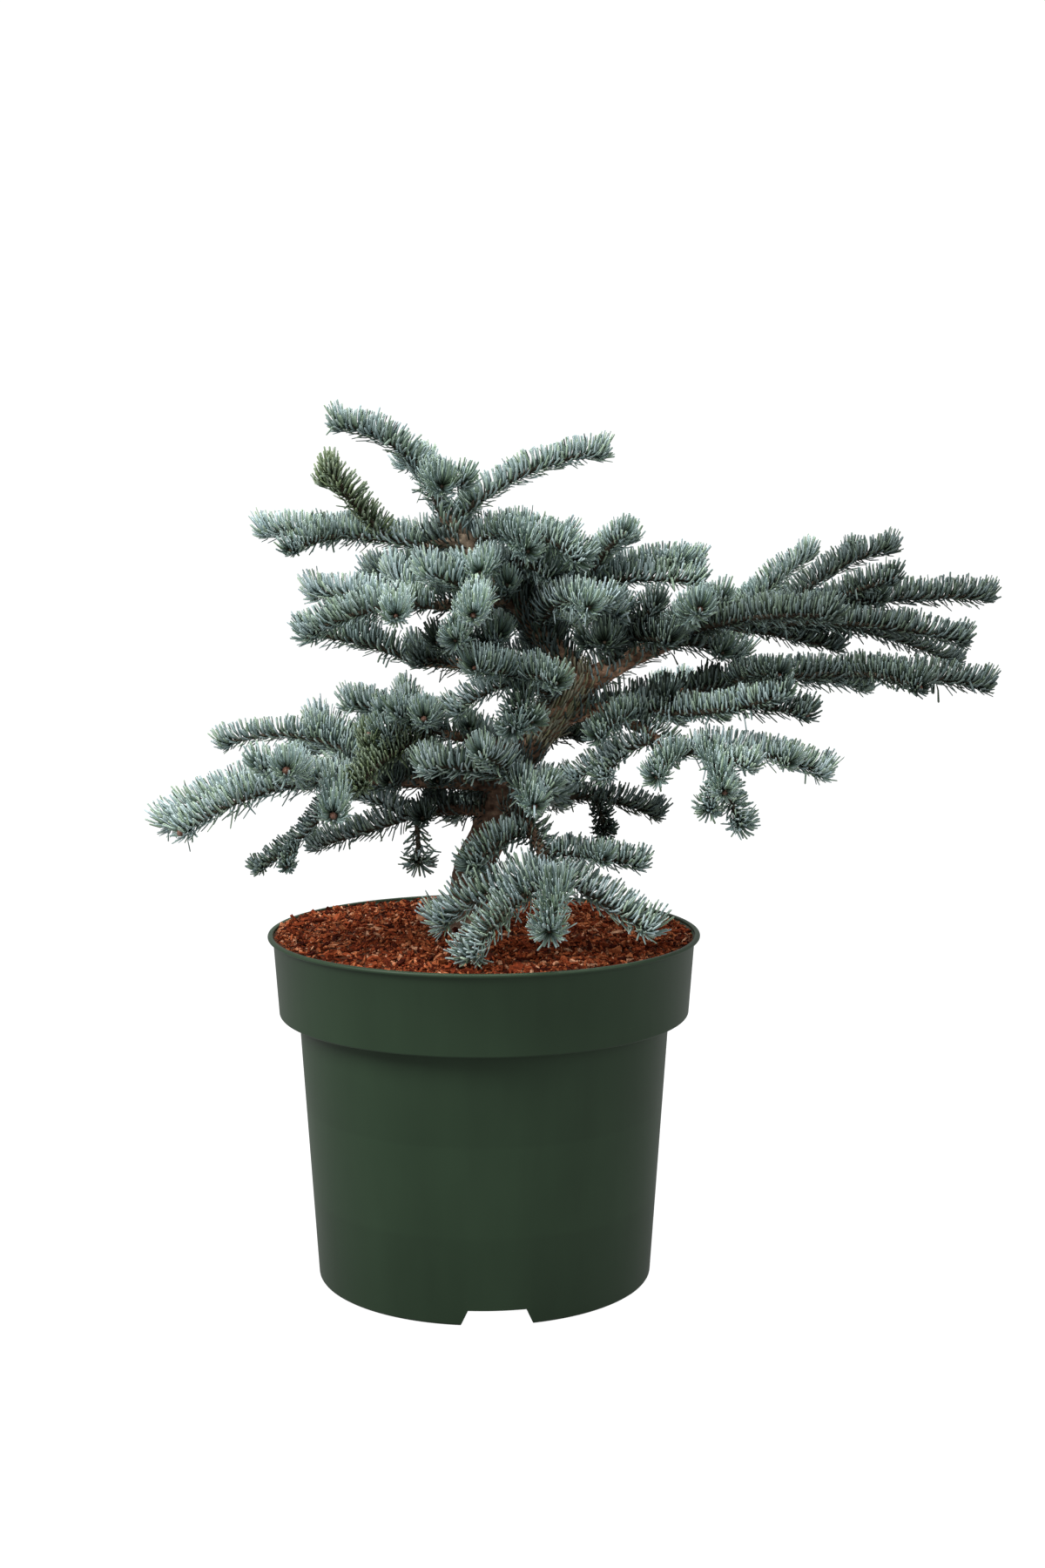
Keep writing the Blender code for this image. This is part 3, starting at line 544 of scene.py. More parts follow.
def new_material(name, roughness, specular=0.5):
    """Material with its node tree and Principled shader."""
    material = bpy.data.materials.new(name)
    material.use_nodes = True
    tree = material.node_tree
    shader = tree.nodes["Principled BSDF"]
    shader.inputs["Roughness"].default_value = roughness
    shader.inputs["Specular IOR Level"].default_value = specular
    return material, tree, shader


def add_node(tree, kind, **settings):
    """Node with properties, and inputs given by their names with underscores for spaces."""
    result = tree.nodes.new(kind)
    for key, value in settings.items():
        label = key.replace("_", " ")
        if label in result.inputs:
            result.inputs[label].default_value = value
        else:
            setattr(result, key, value)
    return result


def add_ramp(tree, factor, stops):
    """Colour ramp from a factor socket: stops of position and colour."""
    ramp = tree.nodes.new("ShaderNodeValToRGB")
    elements = ramp.color_ramp.elements
    while len(elements) < len(stops):
        elements.new(0.5)
    for element, (position, colour) in zip(elements, stops):
        element.position = position
        element.color = (*colour, 1.0)
    tree.links.new(factor, ramp.inputs["Fac"])
    return ramp.outputs["Color"]


def add_mix(tree, blend, factor, first, second):
    """Colour mix of two sockets or colours."""
    mix = tree.nodes.new("ShaderNodeMix")
    mix.data_type = "RGBA"
    mix.blend_type = blend
    for socket, value in zip((mix.inputs[0], mix.inputs[6], mix.inputs[7]), (factor, first, second)):
        if isinstance(value, bpy.types.NodeSocket):
            tree.links.new(value, socket)
        else:
            socket.default_value = value if isinstance(value, float) else (*value, 1.0)
    return mix.outputs[2]


def add_bump(tree, shader, height, strength, distance):
    """Bump from a height socket, chained on any bump that is there already."""
    bump = add_node(tree, "ShaderNodeBump", Strength=strength, Distance=distance)
    tree.links.new(height, bump.inputs["Height"])
    if shader.inputs["Normal"].links:
        tree.links.new(shader.inputs["Normal"].links[0].from_socket, bump.inputs["Normal"])
    tree.links.new(bump.outputs["Normal"], shader.inputs["Normal"])


def object_coordinates(tree, scale):
    """Object coordinates, stretched by a scale for each axis."""
    source = tree.nodes.new("ShaderNodeTexCoord")
    mapping = tree.nodes.new("ShaderNodeMapping")
    mapping.inputs["Scale"].default_value = scale
    tree.links.new(source.outputs["Object"], mapping.inputs["Vector"])
    return mapping.outputs["Vector"]


def add_noise(tree, vector, scale, detail=4.0, roughness=0.55):
    """Noise texture's factor."""
    texture = add_node(tree, "ShaderNodeTexNoise", Scale=scale, Detail=detail, Roughness=roughness)
    tree.links.new(vector, texture.inputs["Vector"])
    return texture.outputs["Fac"]


def needle_material(kind):
    """Waxy needle: root and keel painted shade with a little greener hue, pale face and tip, each a little
    different.
    """
    root, middle, tip = NEEDLE_KINDS[kind]
    material, tree, shader = new_material("needle_" + kind, 0.6, 0.2)
    along = add_node(tree, "ShaderNodeAttribute", attribute_name="along")
    # The dark root colour is painted shade where the needles crowd at the twig.
    colour = add_ramp(tree, along.outputs["Fac"], ((0.0, root), (0.42, middle), (1.0, tip)))
    keel = add_node(tree, "ShaderNodeAttribute", attribute_name="keel")
    # The keel ramp paints shade on the needle's underside.
    bands = add_ramp(tree, keel.outputs["Fac"], ((0.25, (1.0, 1.0, 1.0)), (0.85, KEEL_SHADE)))
    colour = add_mix(tree, "MULTIPLY", 1.0, colour, bands)
    geometry = tree.nodes.new("ShaderNodeNewGeometry")
    shade = add_ramp(
        tree, geometry.outputs["Random Per Island"],
        ((0.0, (0.62, 0.68, 0.50)), (0.16, (1.04, 1.07, 0.84)), (0.32, (0.70, 0.76, 0.80)),
         (0.50, (1.02, 1.02, 1.06)), (0.66, (0.86, 0.88, 0.74)), (0.84, (1.20, 1.18, 1.22)),
         (1.0, (0.90, 0.97, 0.98))))
    tree.links.new(add_mix(tree, "MULTIPLY", 1.0, colour, shade), shader.inputs["Base Color"])
    return material


def twig_material():
    """Young twig: buff to grey-brown, darkened as painted shade under the needles, finely ridged."""
    material, tree, shader = new_material("twig_bark", 0.8, 0.3)
    vector = object_coordinates(tree, (1.0, 1.0, 1.0))
    fine = add_noise(tree, vector, 420.0)
    # Both colours are darkened as painted shade where the needles cover the twigs.
    colour = add_ramp(tree, fine, ((0.3, (0.030, 0.022, 0.014)), (0.7, (0.105, 0.078, 0.052))))
    tree.links.new(colour, shader.inputs["Base Color"])
    add_bump(tree, shader, fine, 0.5, 0.0004)
    return material


def bark_material():
    """Young fir bark: red-brown and wrinkled low down, grey-tan and scarred higher up; painted light at the fork.
    """
    material, tree, shader = new_material("fir_bark", 0.82, 0.3)
    vector = object_coordinates(tree, (1.0, 1.0, 1.0))
    broad = add_noise(tree, vector, 60.0, 6.0, 0.62)
    fine = add_noise(tree, vector, 340.0, 5.0, 0.62)
    wrinkles = add_noise(tree, object_coordinates(tree, (0.5, 0.5, 2.6)), 110.0, 4.0, 0.6)
    colour = add_ramp(
        tree, broad,
        ((0.34, (0.085, 0.062, 0.046)), (0.50, (0.195, 0.152, 0.120)), (0.64, (0.35, 0.290, 0.240))))
    speckle = add_ramp(tree, fine, ((0.36, (0.50, 0.47, 0.45)), (0.62, (1.25, 1.2, 1.15))))
    colour = add_mix(tree, "MULTIPLY", 0.85, colour, speckle)
    folds = add_ramp(tree, wrinkles, ((0.40, (0.50, 0.46, 0.43)), (0.58, (1.12, 1.10, 1.08))))
    colour = add_mix(tree, "MULTIPLY", 0.75, colour, folds)
    cells = add_node(tree, "ShaderNodeTexVoronoi", Scale=95.0)
    tree.links.new(vector, cells.inputs["Vector"])
    scars = add_ramp(tree, cells.outputs["Distance"], ((0.12, (0.34, 0.27, 0.22)), (0.24, (1.0, 1.0, 1.0))))
    colour = add_mix(tree, "MULTIPLY", 0.8, colour, scars)
    height = add_node(tree, "ShaderNodeSeparateXYZ")
    place = tree.nodes.new("ShaderNodeTexCoord")
    tree.links.new(place.outputs["Object"], height.inputs["Vector"])
    # The height ramp tints the bark and paints light on the fork.
    colour = add_mix(tree, "MULTIPLY", 1.0, colour, add_ramp(tree, height.outputs["Z"], BARK_TINTS_AND_FORK_LIGHT))
    tree.links.new(colour, shader.inputs["Base Color"])
    add_bump(tree, shader, fine, 0.7, 0.0006)
    add_bump(tree, shader, wrinkles, 0.6, 0.0012)
    blisters = add_node(tree, "ShaderNodeTexVoronoi", Scale=190.0)
    tree.links.new(vector, blisters.inputs["Vector"])
    add_bump(tree, shader, blisters.outputs["Distance"], 0.35, 0.0008)
    return material


def bud_material():
    """Resinous bud: reddish brown scales with paler, dry edges."""
    material, tree, shader = new_material("bud_scales", 0.6, 0.3)
    vector = object_coordinates(tree, (1.0, 1.0, 1.0))
    scales = add_node(tree, "ShaderNodeTexVoronoi", Scale=620.0)
    tree.links.new(vector, scales.inputs["Vector"])
    colour = add_ramp(
        tree, scales.outputs["Distance"],
        ((0.05, (0.235, 0.105, 0.072)), (0.45, (0.120, 0.050, 0.033)), (0.85, (0.30, 0.190, 0.145))))
    tree.links.new(colour, shader.inputs["Base Color"])
    add_bump(tree, shader, scales.outputs["Distance"], 0.5, 0.0005)
    return material


def plastic_material():
    """Moulded dark green plastic: soft gloss, faint flow marks and a little dust."""
    material, tree, shader = new_material("green_plastic", 0.42, 0.20)
    vector = object_coordinates(tree, (1.0, 1.0, 1.0))
    streaks = add_noise(tree, object_coordinates(tree, (6.0, 6.0, 1.2)), 6.0, 3.0)
    cloud = add_noise(tree, vector, 9.0, 3.0)
    colour = add_ramp(tree, cloud, ((0.3, (0.0236, 0.0452, 0.0238)), (0.7, (0.0288, 0.0538, 0.0290))))
    lines = add_ramp(tree, streaks, ((0.35, (0.93, 0.93, 0.93)), (0.65, (1.05, 1.05, 1.05))))
    colour = add_mix(tree, "MULTIPLY", 0.8, colour, lines)
    place = tree.nodes.new("ShaderNodeSeparateXYZ")
    tree.links.new(vector, place.inputs["Vector"])
    level = add_node(tree, "ShaderNodeMapRange", From_Min=0.0, From_Max=POT_HEIGHT * MM)
    tree.links.new(place.outputs["Z"], level.inputs["Value"])
    bands = add_ramp(tree, level.outputs["Result"], POT_BANDS)
    colour = add_mix(tree, "MULTIPLY", 1.0, colour, bands)
    dust = add_noise(tree, vector, 900.0, 2.0, 0.5)
    specks = add_ramp(tree, dust, ((0.73, (0.0, 0.0, 0.0)), (0.80, (1.0, 1.0, 1.0))))
    colour = add_mix(tree, "MIX", specks, colour, (0.045, 0.058, 0.040))
    tree.links.new(colour, shader.inputs["Base Color"])
    gloss = add_node(tree, "ShaderNodeMapRange", To_Min=0.34, To_Max=0.50)
    tree.links.new(cloud, gloss.inputs["Value"])
    tree.links.new(gloss.outputs["Result"], shader.inputs["Roughness"])
    add_bump(tree, shader, add_noise(tree, vector, 1600.0, 2.0), 0.06, 0.0002)
    return material


def soil_material():
    """Dark damp mix that shows between the bark chips."""
    material, tree, shader = new_material("potting_mix", 0.95, 0.2)
    vector = object_coordinates(tree, (1.0, 1.0, 1.0))
    grain = add_noise(tree, vector, 330.0, 6.0, 0.65)
    colour = add_ramp(
        tree, grain,
        ((0.30, (0.020, 0.008, 0.004)), (0.52, (0.095, 0.030, 0.013)), (0.70, (0.24, 0.085, 0.036))))
    tree.links.new(colour, shader.inputs["Base Color"])
    add_bump(tree, shader, grain, 1.0, 0.0018)
    return material


def chip_material():
    """Bark mulch: each chip its own red-brown, with a fibrous grain."""
    material, tree, shader = new_material("bark_mulch", 0.9, 0.1)
    geometry = tree.nodes.new("ShaderNodeNewGeometry")
    colour = add_ramp(
        tree, geometry.outputs["Random Per Island"],
        ((0.0, (0.030, 0.004, 0.002)), (0.30, (0.120, 0.020, 0.006)), (0.62, (0.255, 0.055, 0.018)),
         (0.88, (0.42, 0.140, 0.055)), (1.0, (0.56, 0.32, 0.20))))
    vector = object_coordinates(tree, (1.0, 1.0, 1.0))
    fibre = add_noise(tree, vector, 560.0, 5.0, 0.68)
    shade = add_ramp(tree, fibre, ((0.36, (0.34, 0.28, 0.26)), (0.62, (1.55, 1.52, 1.52))))
    tree.links.new(add_mix(tree, "MULTIPLY", 0.9, colour, shade), shader.inputs["Base Color"])
    add_bump(tree, shader, fibre, 0.8, 0.0005)
    return material


# Pot.


def arc(centre_radius, centre_height, radius, first, last, steps):
    """Points of an arc in the profile's plane, between two angles in degrees."""
    points = []
    for index in range(steps + 1):
        angle = math.radians(first + (last - first) * index / steps)
        points.append((centre_radius + radius * math.cos(angle), centre_height + radius * math.sin(angle)))
    return points


def pot_profile():
    """Closed half section of the pot: outside from the floor's centre up, then inside down."""
    slope = (COLLAR_TOP_RADIUS - COLLAR_LOW_RADIUS) / (POT_HEIGHT - COLLAR_BOTTOM)
    lip_low = POT_HEIGHT - 2 * LIP_ROUND
    profile = [(0.0, 0.0)]
    profile += arc(BASE_RADIUS - 2.0, 2.0, 2.0, -90, 0, 4)
    profile += [(NECK_RADIUS - 0.4, COLLAR_BOTTOM - 4.0), (NECK_RADIUS, COLLAR_BOTTOM)]
    profile += arc(COLLAR_LOW_RADIUS - COLLAR_ROUND, COLLAR_BOTTOM + COLLAR_ROUND, COLLAR_ROUND, -90, 0, 5)
    profile += [(COLLAR_TOP_RADIUS - slope, lip_low - 1.0), (COLLAR_TOP_RADIUS + 0.8, lip_low)]
    profile += arc(LIP_RADIUS - LIP_ROUND, POT_HEIGHT - LIP_ROUND, LIP_ROUND, -90, 90, 8)
    rim = LIP_RADIUS - RIM_WIDTH
    profile += arc(rim + RIM_ROUND, POT_HEIGHT - RIM_ROUND, RIM_ROUND, 100, 180, 4)
    profile += [(rim, lip_low + 0.6), (COLLAR_TOP_RADIUS - POT_WALL, lip_low - 1.2)]
    profile += [(COLLAR_LOW_RADIUS - POT_WALL, COLLAR_BOTTOM + POT_WALL)]
    profile += [(NECK_RADIUS - POT_WALL, COLLAR_BOTTOM + POT_WALL)]
    profile += [(BASE_RADIUS - POT_WALL, POT_FLOOR), (0.0, POT_FLOOR)]
    return profile


def lathe(profile, steps):
    """Points and faces of a closed solid of revolution from a profile that ends on the axis."""
    body = profile[1:-1]
    angles = np.linspace(0.0, math.tau, steps, endpoint=False)
    rings = [
        np.column_stack([radius * np.cos(angles), radius * np.sin(angles), np.full(steps, height)])
        for radius, height in body
    ]
    points = np.vstack(rings + [[(0.0, 0.0, profile[0][1])], [(0.0, 0.0, profile[-1][1])]])
    here = np.arange(steps)
    after = (here + 1) % steps
    quads = []
    for row in range(len(body) - 1):
        low, high = row * steps, (row + 1) * steps
        quads.append(np.column_stack([here + low, after + low, after + high, here + high]))
    first, last = len(points) - 2, len(points) - 1
    top = (len(body) - 1) * steps
    triangles = np.vstack([
        np.column_stack([after, here, np.full(steps, first)]),
        np.column_stack([here + top, after + top, np.full(steps, last)]),
    ])
    return points, np.vstack(quads), triangles


def notch_cutter(heading, grow, material):
    """Block that cuts one drainage notch, or that boxes it in where grown."""
    lean = (NOTCH_LOW_WIDTH - NOTCH_TOP_WIDTH) / NOTCH_HEIGHT
    out = BASE_RADIUS + NOTCH_PROUD
    back = BASE_RADIUS - NOTCH_DEPTH - grow
    corners = []
    for height in (-3.0, NOTCH_HEIGHT + grow):
        half = (NOTCH_LOW_WIDTH - lean * height) / 2 + grow
        corners += [(back, -half, height), (out, -half, height), (out, half, height), (back, half, height)]
    turn = math.radians(heading)
    spin = np.array([(math.cos(turn), math.sin(turn), 0), (-math.sin(turn), math.cos(turn), 0), (0, 0, 1)])
    points = np.array(corners) @ spin
    quads = [(3, 2, 1, 0), (4, 5, 6, 7), (0, 1, 5, 4), (1, 2, 6, 5), (2, 3, 7, 6), (3, 0, 4, 7)]
    return mesh_object("notch_cutter", points, quads, np.zeros((0, 3)), material, smooth=False)


def combine(target, cutter, operation):
    """Boolean of the target with a cutter, applied. The cutter is removed."""
    modifier = target.modifiers.new("combine", "BOOLEAN")
    modifier.operation = operation
    modifier.solver = "MANIFOLD"
    modifier.object = cutter
    graph = bpy.context.evaluated_depsgraph_get()
    mesh = bpy.data.meshes.new_from_object(target.evaluated_get(graph))
    target.modifiers.clear()
    target.data = mesh
    bpy.data.objects.remove(cutter, do_unlink=True)


def build_pot():
    """Pot with a rounded lip and collar and cut drainage notches."""
    plastic = plastic_material()
    points, quads, triangles = lathe(pot_profile(), POT_STEPS)
    pot = mesh_object("nursery_pot", points, quads, triangles, plastic)
    for index in range(NOTCH_COUNT):
        heading = NOTCH_FIRST_HEADING + 360 / NOTCH_COUNT * index
        combine(pot, notch_cutter(heading, 0.0, plastic), "DIFFERENCE")
    pot.data.set_sharp_from_angle(angle=math.radians(40))
    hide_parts("pot")


# Mulch.


def soil_height(x, y):
    """Height of the mulch's surface: uneven, higher by the rim at the left and the trunk."""
    place = Vector((x, y, 0.0))
    rough = noise.noise(place * 0.11) * 1.3 + noise.noise(place * 0.35) * 0.9
    swell = noise.noise(place * 0.018) * 1.6
    trunk = math.hypot(x - TRUNK_BENDS[0][0], y - TRUNK_BENDS[0][1])
    heap = 3.0 * math.exp(-((trunk / 26.0) ** 2)) + 2.2 * math.exp(-(((x + COLLAR_TOP_RADIUS) / 42.0) ** 2))
    return SOIL_TOP + 0.8 + rough + swell + heap


def add_chip(points, quads, centre, length, slim, segments, dice):
    """Ragged chip of bark: a bar of four-cornered sections, each with its corners out of true."""
    width = length * slim * dice.uniform(0.7, 1.5)
    thick = min(width, 0.5 + length * dice.uniform(0.08, 0.30))
    heading = dice.uniform(0, math.tau)
    rise = math.radians(dice.gauss(0, 22))
    roll = math.radians(dice.gauss(0, 38))
    axis = Vector((math.cos(heading) * math.cos(rise), math.sin(heading) * math.cos(rise), math.sin(rise)))
    level = axis.cross(UP).normalized()
    upper = level.cross(axis)
    side = level * math.cos(roll) + upper * math.sin(roll)
    top = upper * math.cos(roll) - level * math.sin(roll)
    base = len(points)
    bow = dice.uniform(-0.12, 0.12) * length
    for section in range(segments + 1):
        part = section / segments - 0.5
        narrow = dice.uniform(0.35, 0.95) if section in (0, segments) else 1.0
        for out_side, out_top in ((-1, -1), (1, -1), (1, 1), (-1, 1)):
            corner = axis * (part * length * dice.uniform(0.8, 1.15))
            corner += side * (out_side * width / 2 * narrow * dice.uniform(0.65, 1.2))
            corner += top * (out_top * thick / 2 * dice.uniform(0.55, 1.2) + bow * (1 - 4 * part * part))
            points.append(centre + corner)
    for section in range(segments):
        ring = base + 4 * section
        for edge in range(4):
            after = (edge + 1) % 4
            quads.append((ring + edge, ring + after, ring + 4 + after, ring + 4 + edge))
    last = base + 4 * segments
    quads.append((base + 3, base + 2, base + 1, base))
    quads.append((last, last + 1, last + 2, last + 3))


def build_mulch():
    """Uneven bed of mix with loose bark chips on it."""
    step = 2.6
    reach = LIP_RADIUS - RIM_WIDTH - 0.5
    count = int(2 * reach / step)
    line = np.linspace(-1.0, 1.0, count)
    grid_x, grid_y = np.meshgrid(line, line, indexing="ij")
    squeeze_x = grid_x * np.sqrt(1 - grid_y ** 2 / 2) * reach
    squeeze_y = grid_y * np.sqrt(1 - grid_x ** 2 / 2) * reach
    rows = list(zip(squeeze_x.ravel(), squeeze_y.ravel()))
    points = np.array([(x, y, soil_height(x, y)) for x, y in rows])
    index = np.arange(count * count).reshape(count, count)
    quads = np.column_stack([
        index[:-1, :-1].ravel(), index[1:, :-1].ravel(), index[1:, 1:].ravel(), index[:-1, 1:].ravel()])
    bed = mesh_object("mulch_bed", points, quads, np.zeros((0, 3), int), soil_material())

    dice = random.Random(SEED)
    points, quads = [], []
    for count, typical, longest, slim, segments in CHIP_SORTS:
        for _ in range(count):
            out = math.sqrt(dice.random()) * (reach - 1.8)
            turn = dice.uniform(0, math.tau)
            x, y = out * math.cos(turn), out * math.sin(turn)
            if math.hypot(x - TRUNK_BENDS[0][0], y - TRUNK_BENDS[0][1]) < FOOT_RADIUS - 2:
                continue
            length = min(typical * dice.lognormvariate(0.0, 0.40), longest, 2 * (reach - out) - 0.6)
            centre = Vector((x, y, soil_height(x, y) + dice.uniform(-0.3, 1.6)))
            add_chip(points, quads, centre, length, slim, segments, dice)
    chips = mesh_object(
        "bark_chips", np.array([tuple(p) for p in points]), np.array(quads), np.zeros((0, 3), int),
        chip_material(), smooth=False)
    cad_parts["growing_mix"].data.materials.clear()
    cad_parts["growing_mix"].data.materials.append(bed.data.materials[0])


# Limbs.


def tube_arrays(path, radii, step, sides, relief=0.0, seed=0.0):
    """Rings of a tube along a path, closed at both ends, with bark relief."""
    points, tangents, stations = resample(path, step)
    rows = np.array([tuple(point) for point in path])
    travel = np.concatenate([[0.0], np.cumsum(np.linalg.norm(np.diff(rows, axis=0), axis=1))])
    widths = np.interp(stations, travel, radii)
    side = Vector(tangents[0]).orthogonal().normalized()
    rings = []
    for point, tangent, width, station in zip(points, tangents, widths, stations):
        tangent = Vector(tangent)
        side = (side - tangent * side.dot(tangent)).normalized()
        other = tangent.cross(side)
        for index in range(sides):
            angle = math.tau * index / sides
            out = side * math.cos(angle) + other * math.sin(angle)
            lift = 0.0
            if relief:
                around = out * (width * 0.16)
                fold = noise.noise(Vector((around.x + seed, around.y, station * 0.05)))
                wrinkle = noise.noise(Vector((around.x * 2.5, around.y * 2.5 + seed, station * 0.42)))
                knob = max(0.0, noise.noise(Vector((around.x, seed - around.y, station * 0.11))) - 0.25)
                lift = relief * width * (0.09 * fold + 0.05 * wrinkle + 0.35 * knob)
            rings.append(Vector(point) + out * (width + lift))
    count = len(points)
    ends = [Vector(points[0]), Vector(points[-1]) + Vector(tangents[-1]) * widths[-1] * 0.6]
    verts = np.array([tuple(v) for v in rings + ends])
    here = np.arange(sides)
    after = (here + 1) % sides
    quads = [
        np.column_stack([here + r * sides, after + r * sides, after + (r + 1) * sides, here + (r + 1) * sides])
        for r in range(count - 1)
    ]
    top = (count - 1) * sides
    triangles = np.vstack([
        np.column_stack([after, here, np.full(sides, count * sides)]),
        np.column_stack([here + top, after + top, np.full(sides, count * sides + 1)]),
    ])
    return verts, np.vstack(quads), triangles


def joined(parts):
    """One set of arrays from several sets of points, quads and triangles."""
    points, quads, triangles = [], [], []
    base = 0
    for verts, fours, threes in parts:
        points.append(verts)
        quads.append(fours + base)
        triangles.append(threes + base)
        base += len(verts)
    return np.vstack(points), np.vstack(quads), np.vstack(triangles)


def build_limbs(limbs):
    """Trunk and boughs with the relief of bark."""
    bark = bark_material()
    path, radii = limbs["trunk"]
    fine = [tuple(row) for row in smooth_path(TRUNK_BENDS, 4.0)]
    trunk_path = [path[0] - UP * 3.0, path[0] + UP * 3.0] + [Vector(row[:3]) for row in fine[1:]]
    trunk_radii = [FOOT_RADIUS * 1.12, FOOT_RADIUS * 0.96] + [row[3] for row in fine[1:]]
    arrays = tube_arrays(trunk_path, trunk_radii, 1.6, 48, 1.0, 3.7)
    trunk = mesh_object("trunk_bark", *arrays, bark)
    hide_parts("trunk")
    parts = []
    for number, name in enumerate(BOUGHS):
        path, radii = limbs[name]
        parts.append(tube_arrays(path, radii, 1.8, 24, 0.8, 11.3 * number))
    boughs = mesh_object("bough_bark", *joined(parts), bark)
    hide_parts(*BOUGHS)


# Shoots.


def side_twigs(path, dice):
    """Short side shoots in the spray's plane, within the reach of the shoot they leave."""
    total = sum((b - a).length for a, b in zip(path, path[1:]))
    twigs = []
    if total < 48:
        return twigs
    for number, share in enumerate((0.38, 0.60)):
        if dice.random() > SIDE_TWIG_CHANCE:
            continue
        start = value_at(path, share)
        along = (value_at(path, share + 0.05) - value_at(path, share - 0.05)).normalized()
        level = along.cross(UP).normalized() * (1 if (number + dice.randrange(2)) % 2 else -1)
        aim = (along * 0.72 + level * 0.68 + UP * dice.uniform(-0.12, 0.16)).normalized()
        length = min(dice.uniform(*SIDE_TWIG_LENGTH), total * (1 - share) * 0.8)
        if length > 12:
            twigs.append(arched(start, start + aim * length, 4, SHOOT_STEP / 2))
    return twigs


def needles_along(path, radii, skip, density, length, generator, pressed=0.0):
    """Foot, middle, tip and face normal of the needles of one shoot or limb.

    Pressed needles lie along old bark, others stand up from it.
    """
    points, tangents, stations = resample(path, 1.0)
    total = stations[-1]
    count = int(max(0.0, total - skip) * density)
    if count < 1:
        return None
    place = skip + (np.arange(count) + generator.uniform(0, 1, count) * 0.8) / density
    place = np.minimum(place, total)
    foot = np.column_stack([np.interp(place, stations, points[:, k]) for k in range(3)])
    along = normalised(np.column_stack([np.interp(place, stations, tangents[:, k]) for k in range(3)]))
    up = np.array([0.0, 0.0, 1.0])
    lift = up - along * (along @ up)[:, None]
    level = np.linalg.norm(lift, axis=1)
    lift = normalised(lift + (level < 0.05)[:, None] * np.array([0.0, 1.0, 0.0]))
    side = np.cross(along, lift)
    turn = np.arange(count) * GOLDEN_ANGLE + generator.uniform(0, math.tau)
    turn = (turn + math.pi) % math.tau - math.pi + generator.normal(0, 0.08, count)
    sweep = 1 - (1 - SWEEP) * level
    turn = turn * sweep
    girth = np.interp(place / total, np.linspace(0.0, 1.0, len(radii)), radii)
    out = lift * np.cos(turn)[:, None] + side * np.sin(turn)[:, None]
    end = np.exp((place - total) / 7.0)
    forward = (0.26 + 0.50 * end + pressed + generator.normal(0, 0.045, count))[:, None]
    size = length * (1 + generator.normal(0, 0.08, count)) * (1 - 0.20 * end)
    size *= np.where(place < skip + 8, 0.75, 1.0)
    wave = np.sin(place / WAVE_LENGTH + generator.uniform(0, math.tau, 2)[:, None])
    size *= 1 + 0.06 * wave[0]
    forward += 0.09 * wave[1][:, None]
    stray = generator.uniform(0, 1, count) < STRAY_SHARE
    under = (1 - np.cos(turn)) / 2 * level
    rise = (np.where(stray, -0.55, 0.62 - 0.45 * under ** 2) * level)[:, None] * (1 - 0.6 * pressed)
    size *= np.where(stray, 1.0, 1.0 - generator.uniform(0.0, 0.62, count) * under ** 2)
    curl = generator.normal(0, 0.07, count)[:, None]
    foot = foot + out * (girth * 0.85)[:, None]
    spread = (0.90 - 0.30 * under)[:, None]
    middle = foot + (out * spread + along * (forward + 0.24)) * (size * 0.52)[:, None]
    reach = normalised(out * 0.42 + along * (forward + curl) + lift * rise)
    tip = foot + reach * (size * 0.90)[:, None]
    return foot, middle, tip, out


def star_needles(path, length, generator):
    """Needles that fan out round the bud at the end of a shoot, the longer ones upward."""
    end = np.array(path[-1])
    aim = (path[-1] - path[-2]).normalized()
    side = aim.orthogonal().normalized()
    other = aim.cross(side)
    turn = np.arange(STAR_NEEDLES) * GOLDEN_ANGLE + generator.uniform(0, math.tau)
    lean = np.radians(16 + 52 * np.sqrt(np.linspace(0.03, 1.0, STAR_NEEDLES)))
    out = np.outer(np.cos(turn), side) + np.outer(np.sin(turn), other)
    size = length * (0.78 + 0.26 * out[:, 2] + generator.normal(0, 0.06, STAR_NEEDLES))
    foot = end - np.outer(np.linspace(0.5, 5.0, STAR_NEEDLES), aim) + out * TWIG_TIP * 0.7
    straight = out * np.sin(lean)[:, None] + np.outer(np.cos(lean), aim)
    middle = foot + (straight + out * 0.28) * (size * 0.5)[:, None]
    tip = foot + normalised(straight + np.array([0.0, 0.0, 0.56])) * size[:, None]
    return foot, middle, tip, out


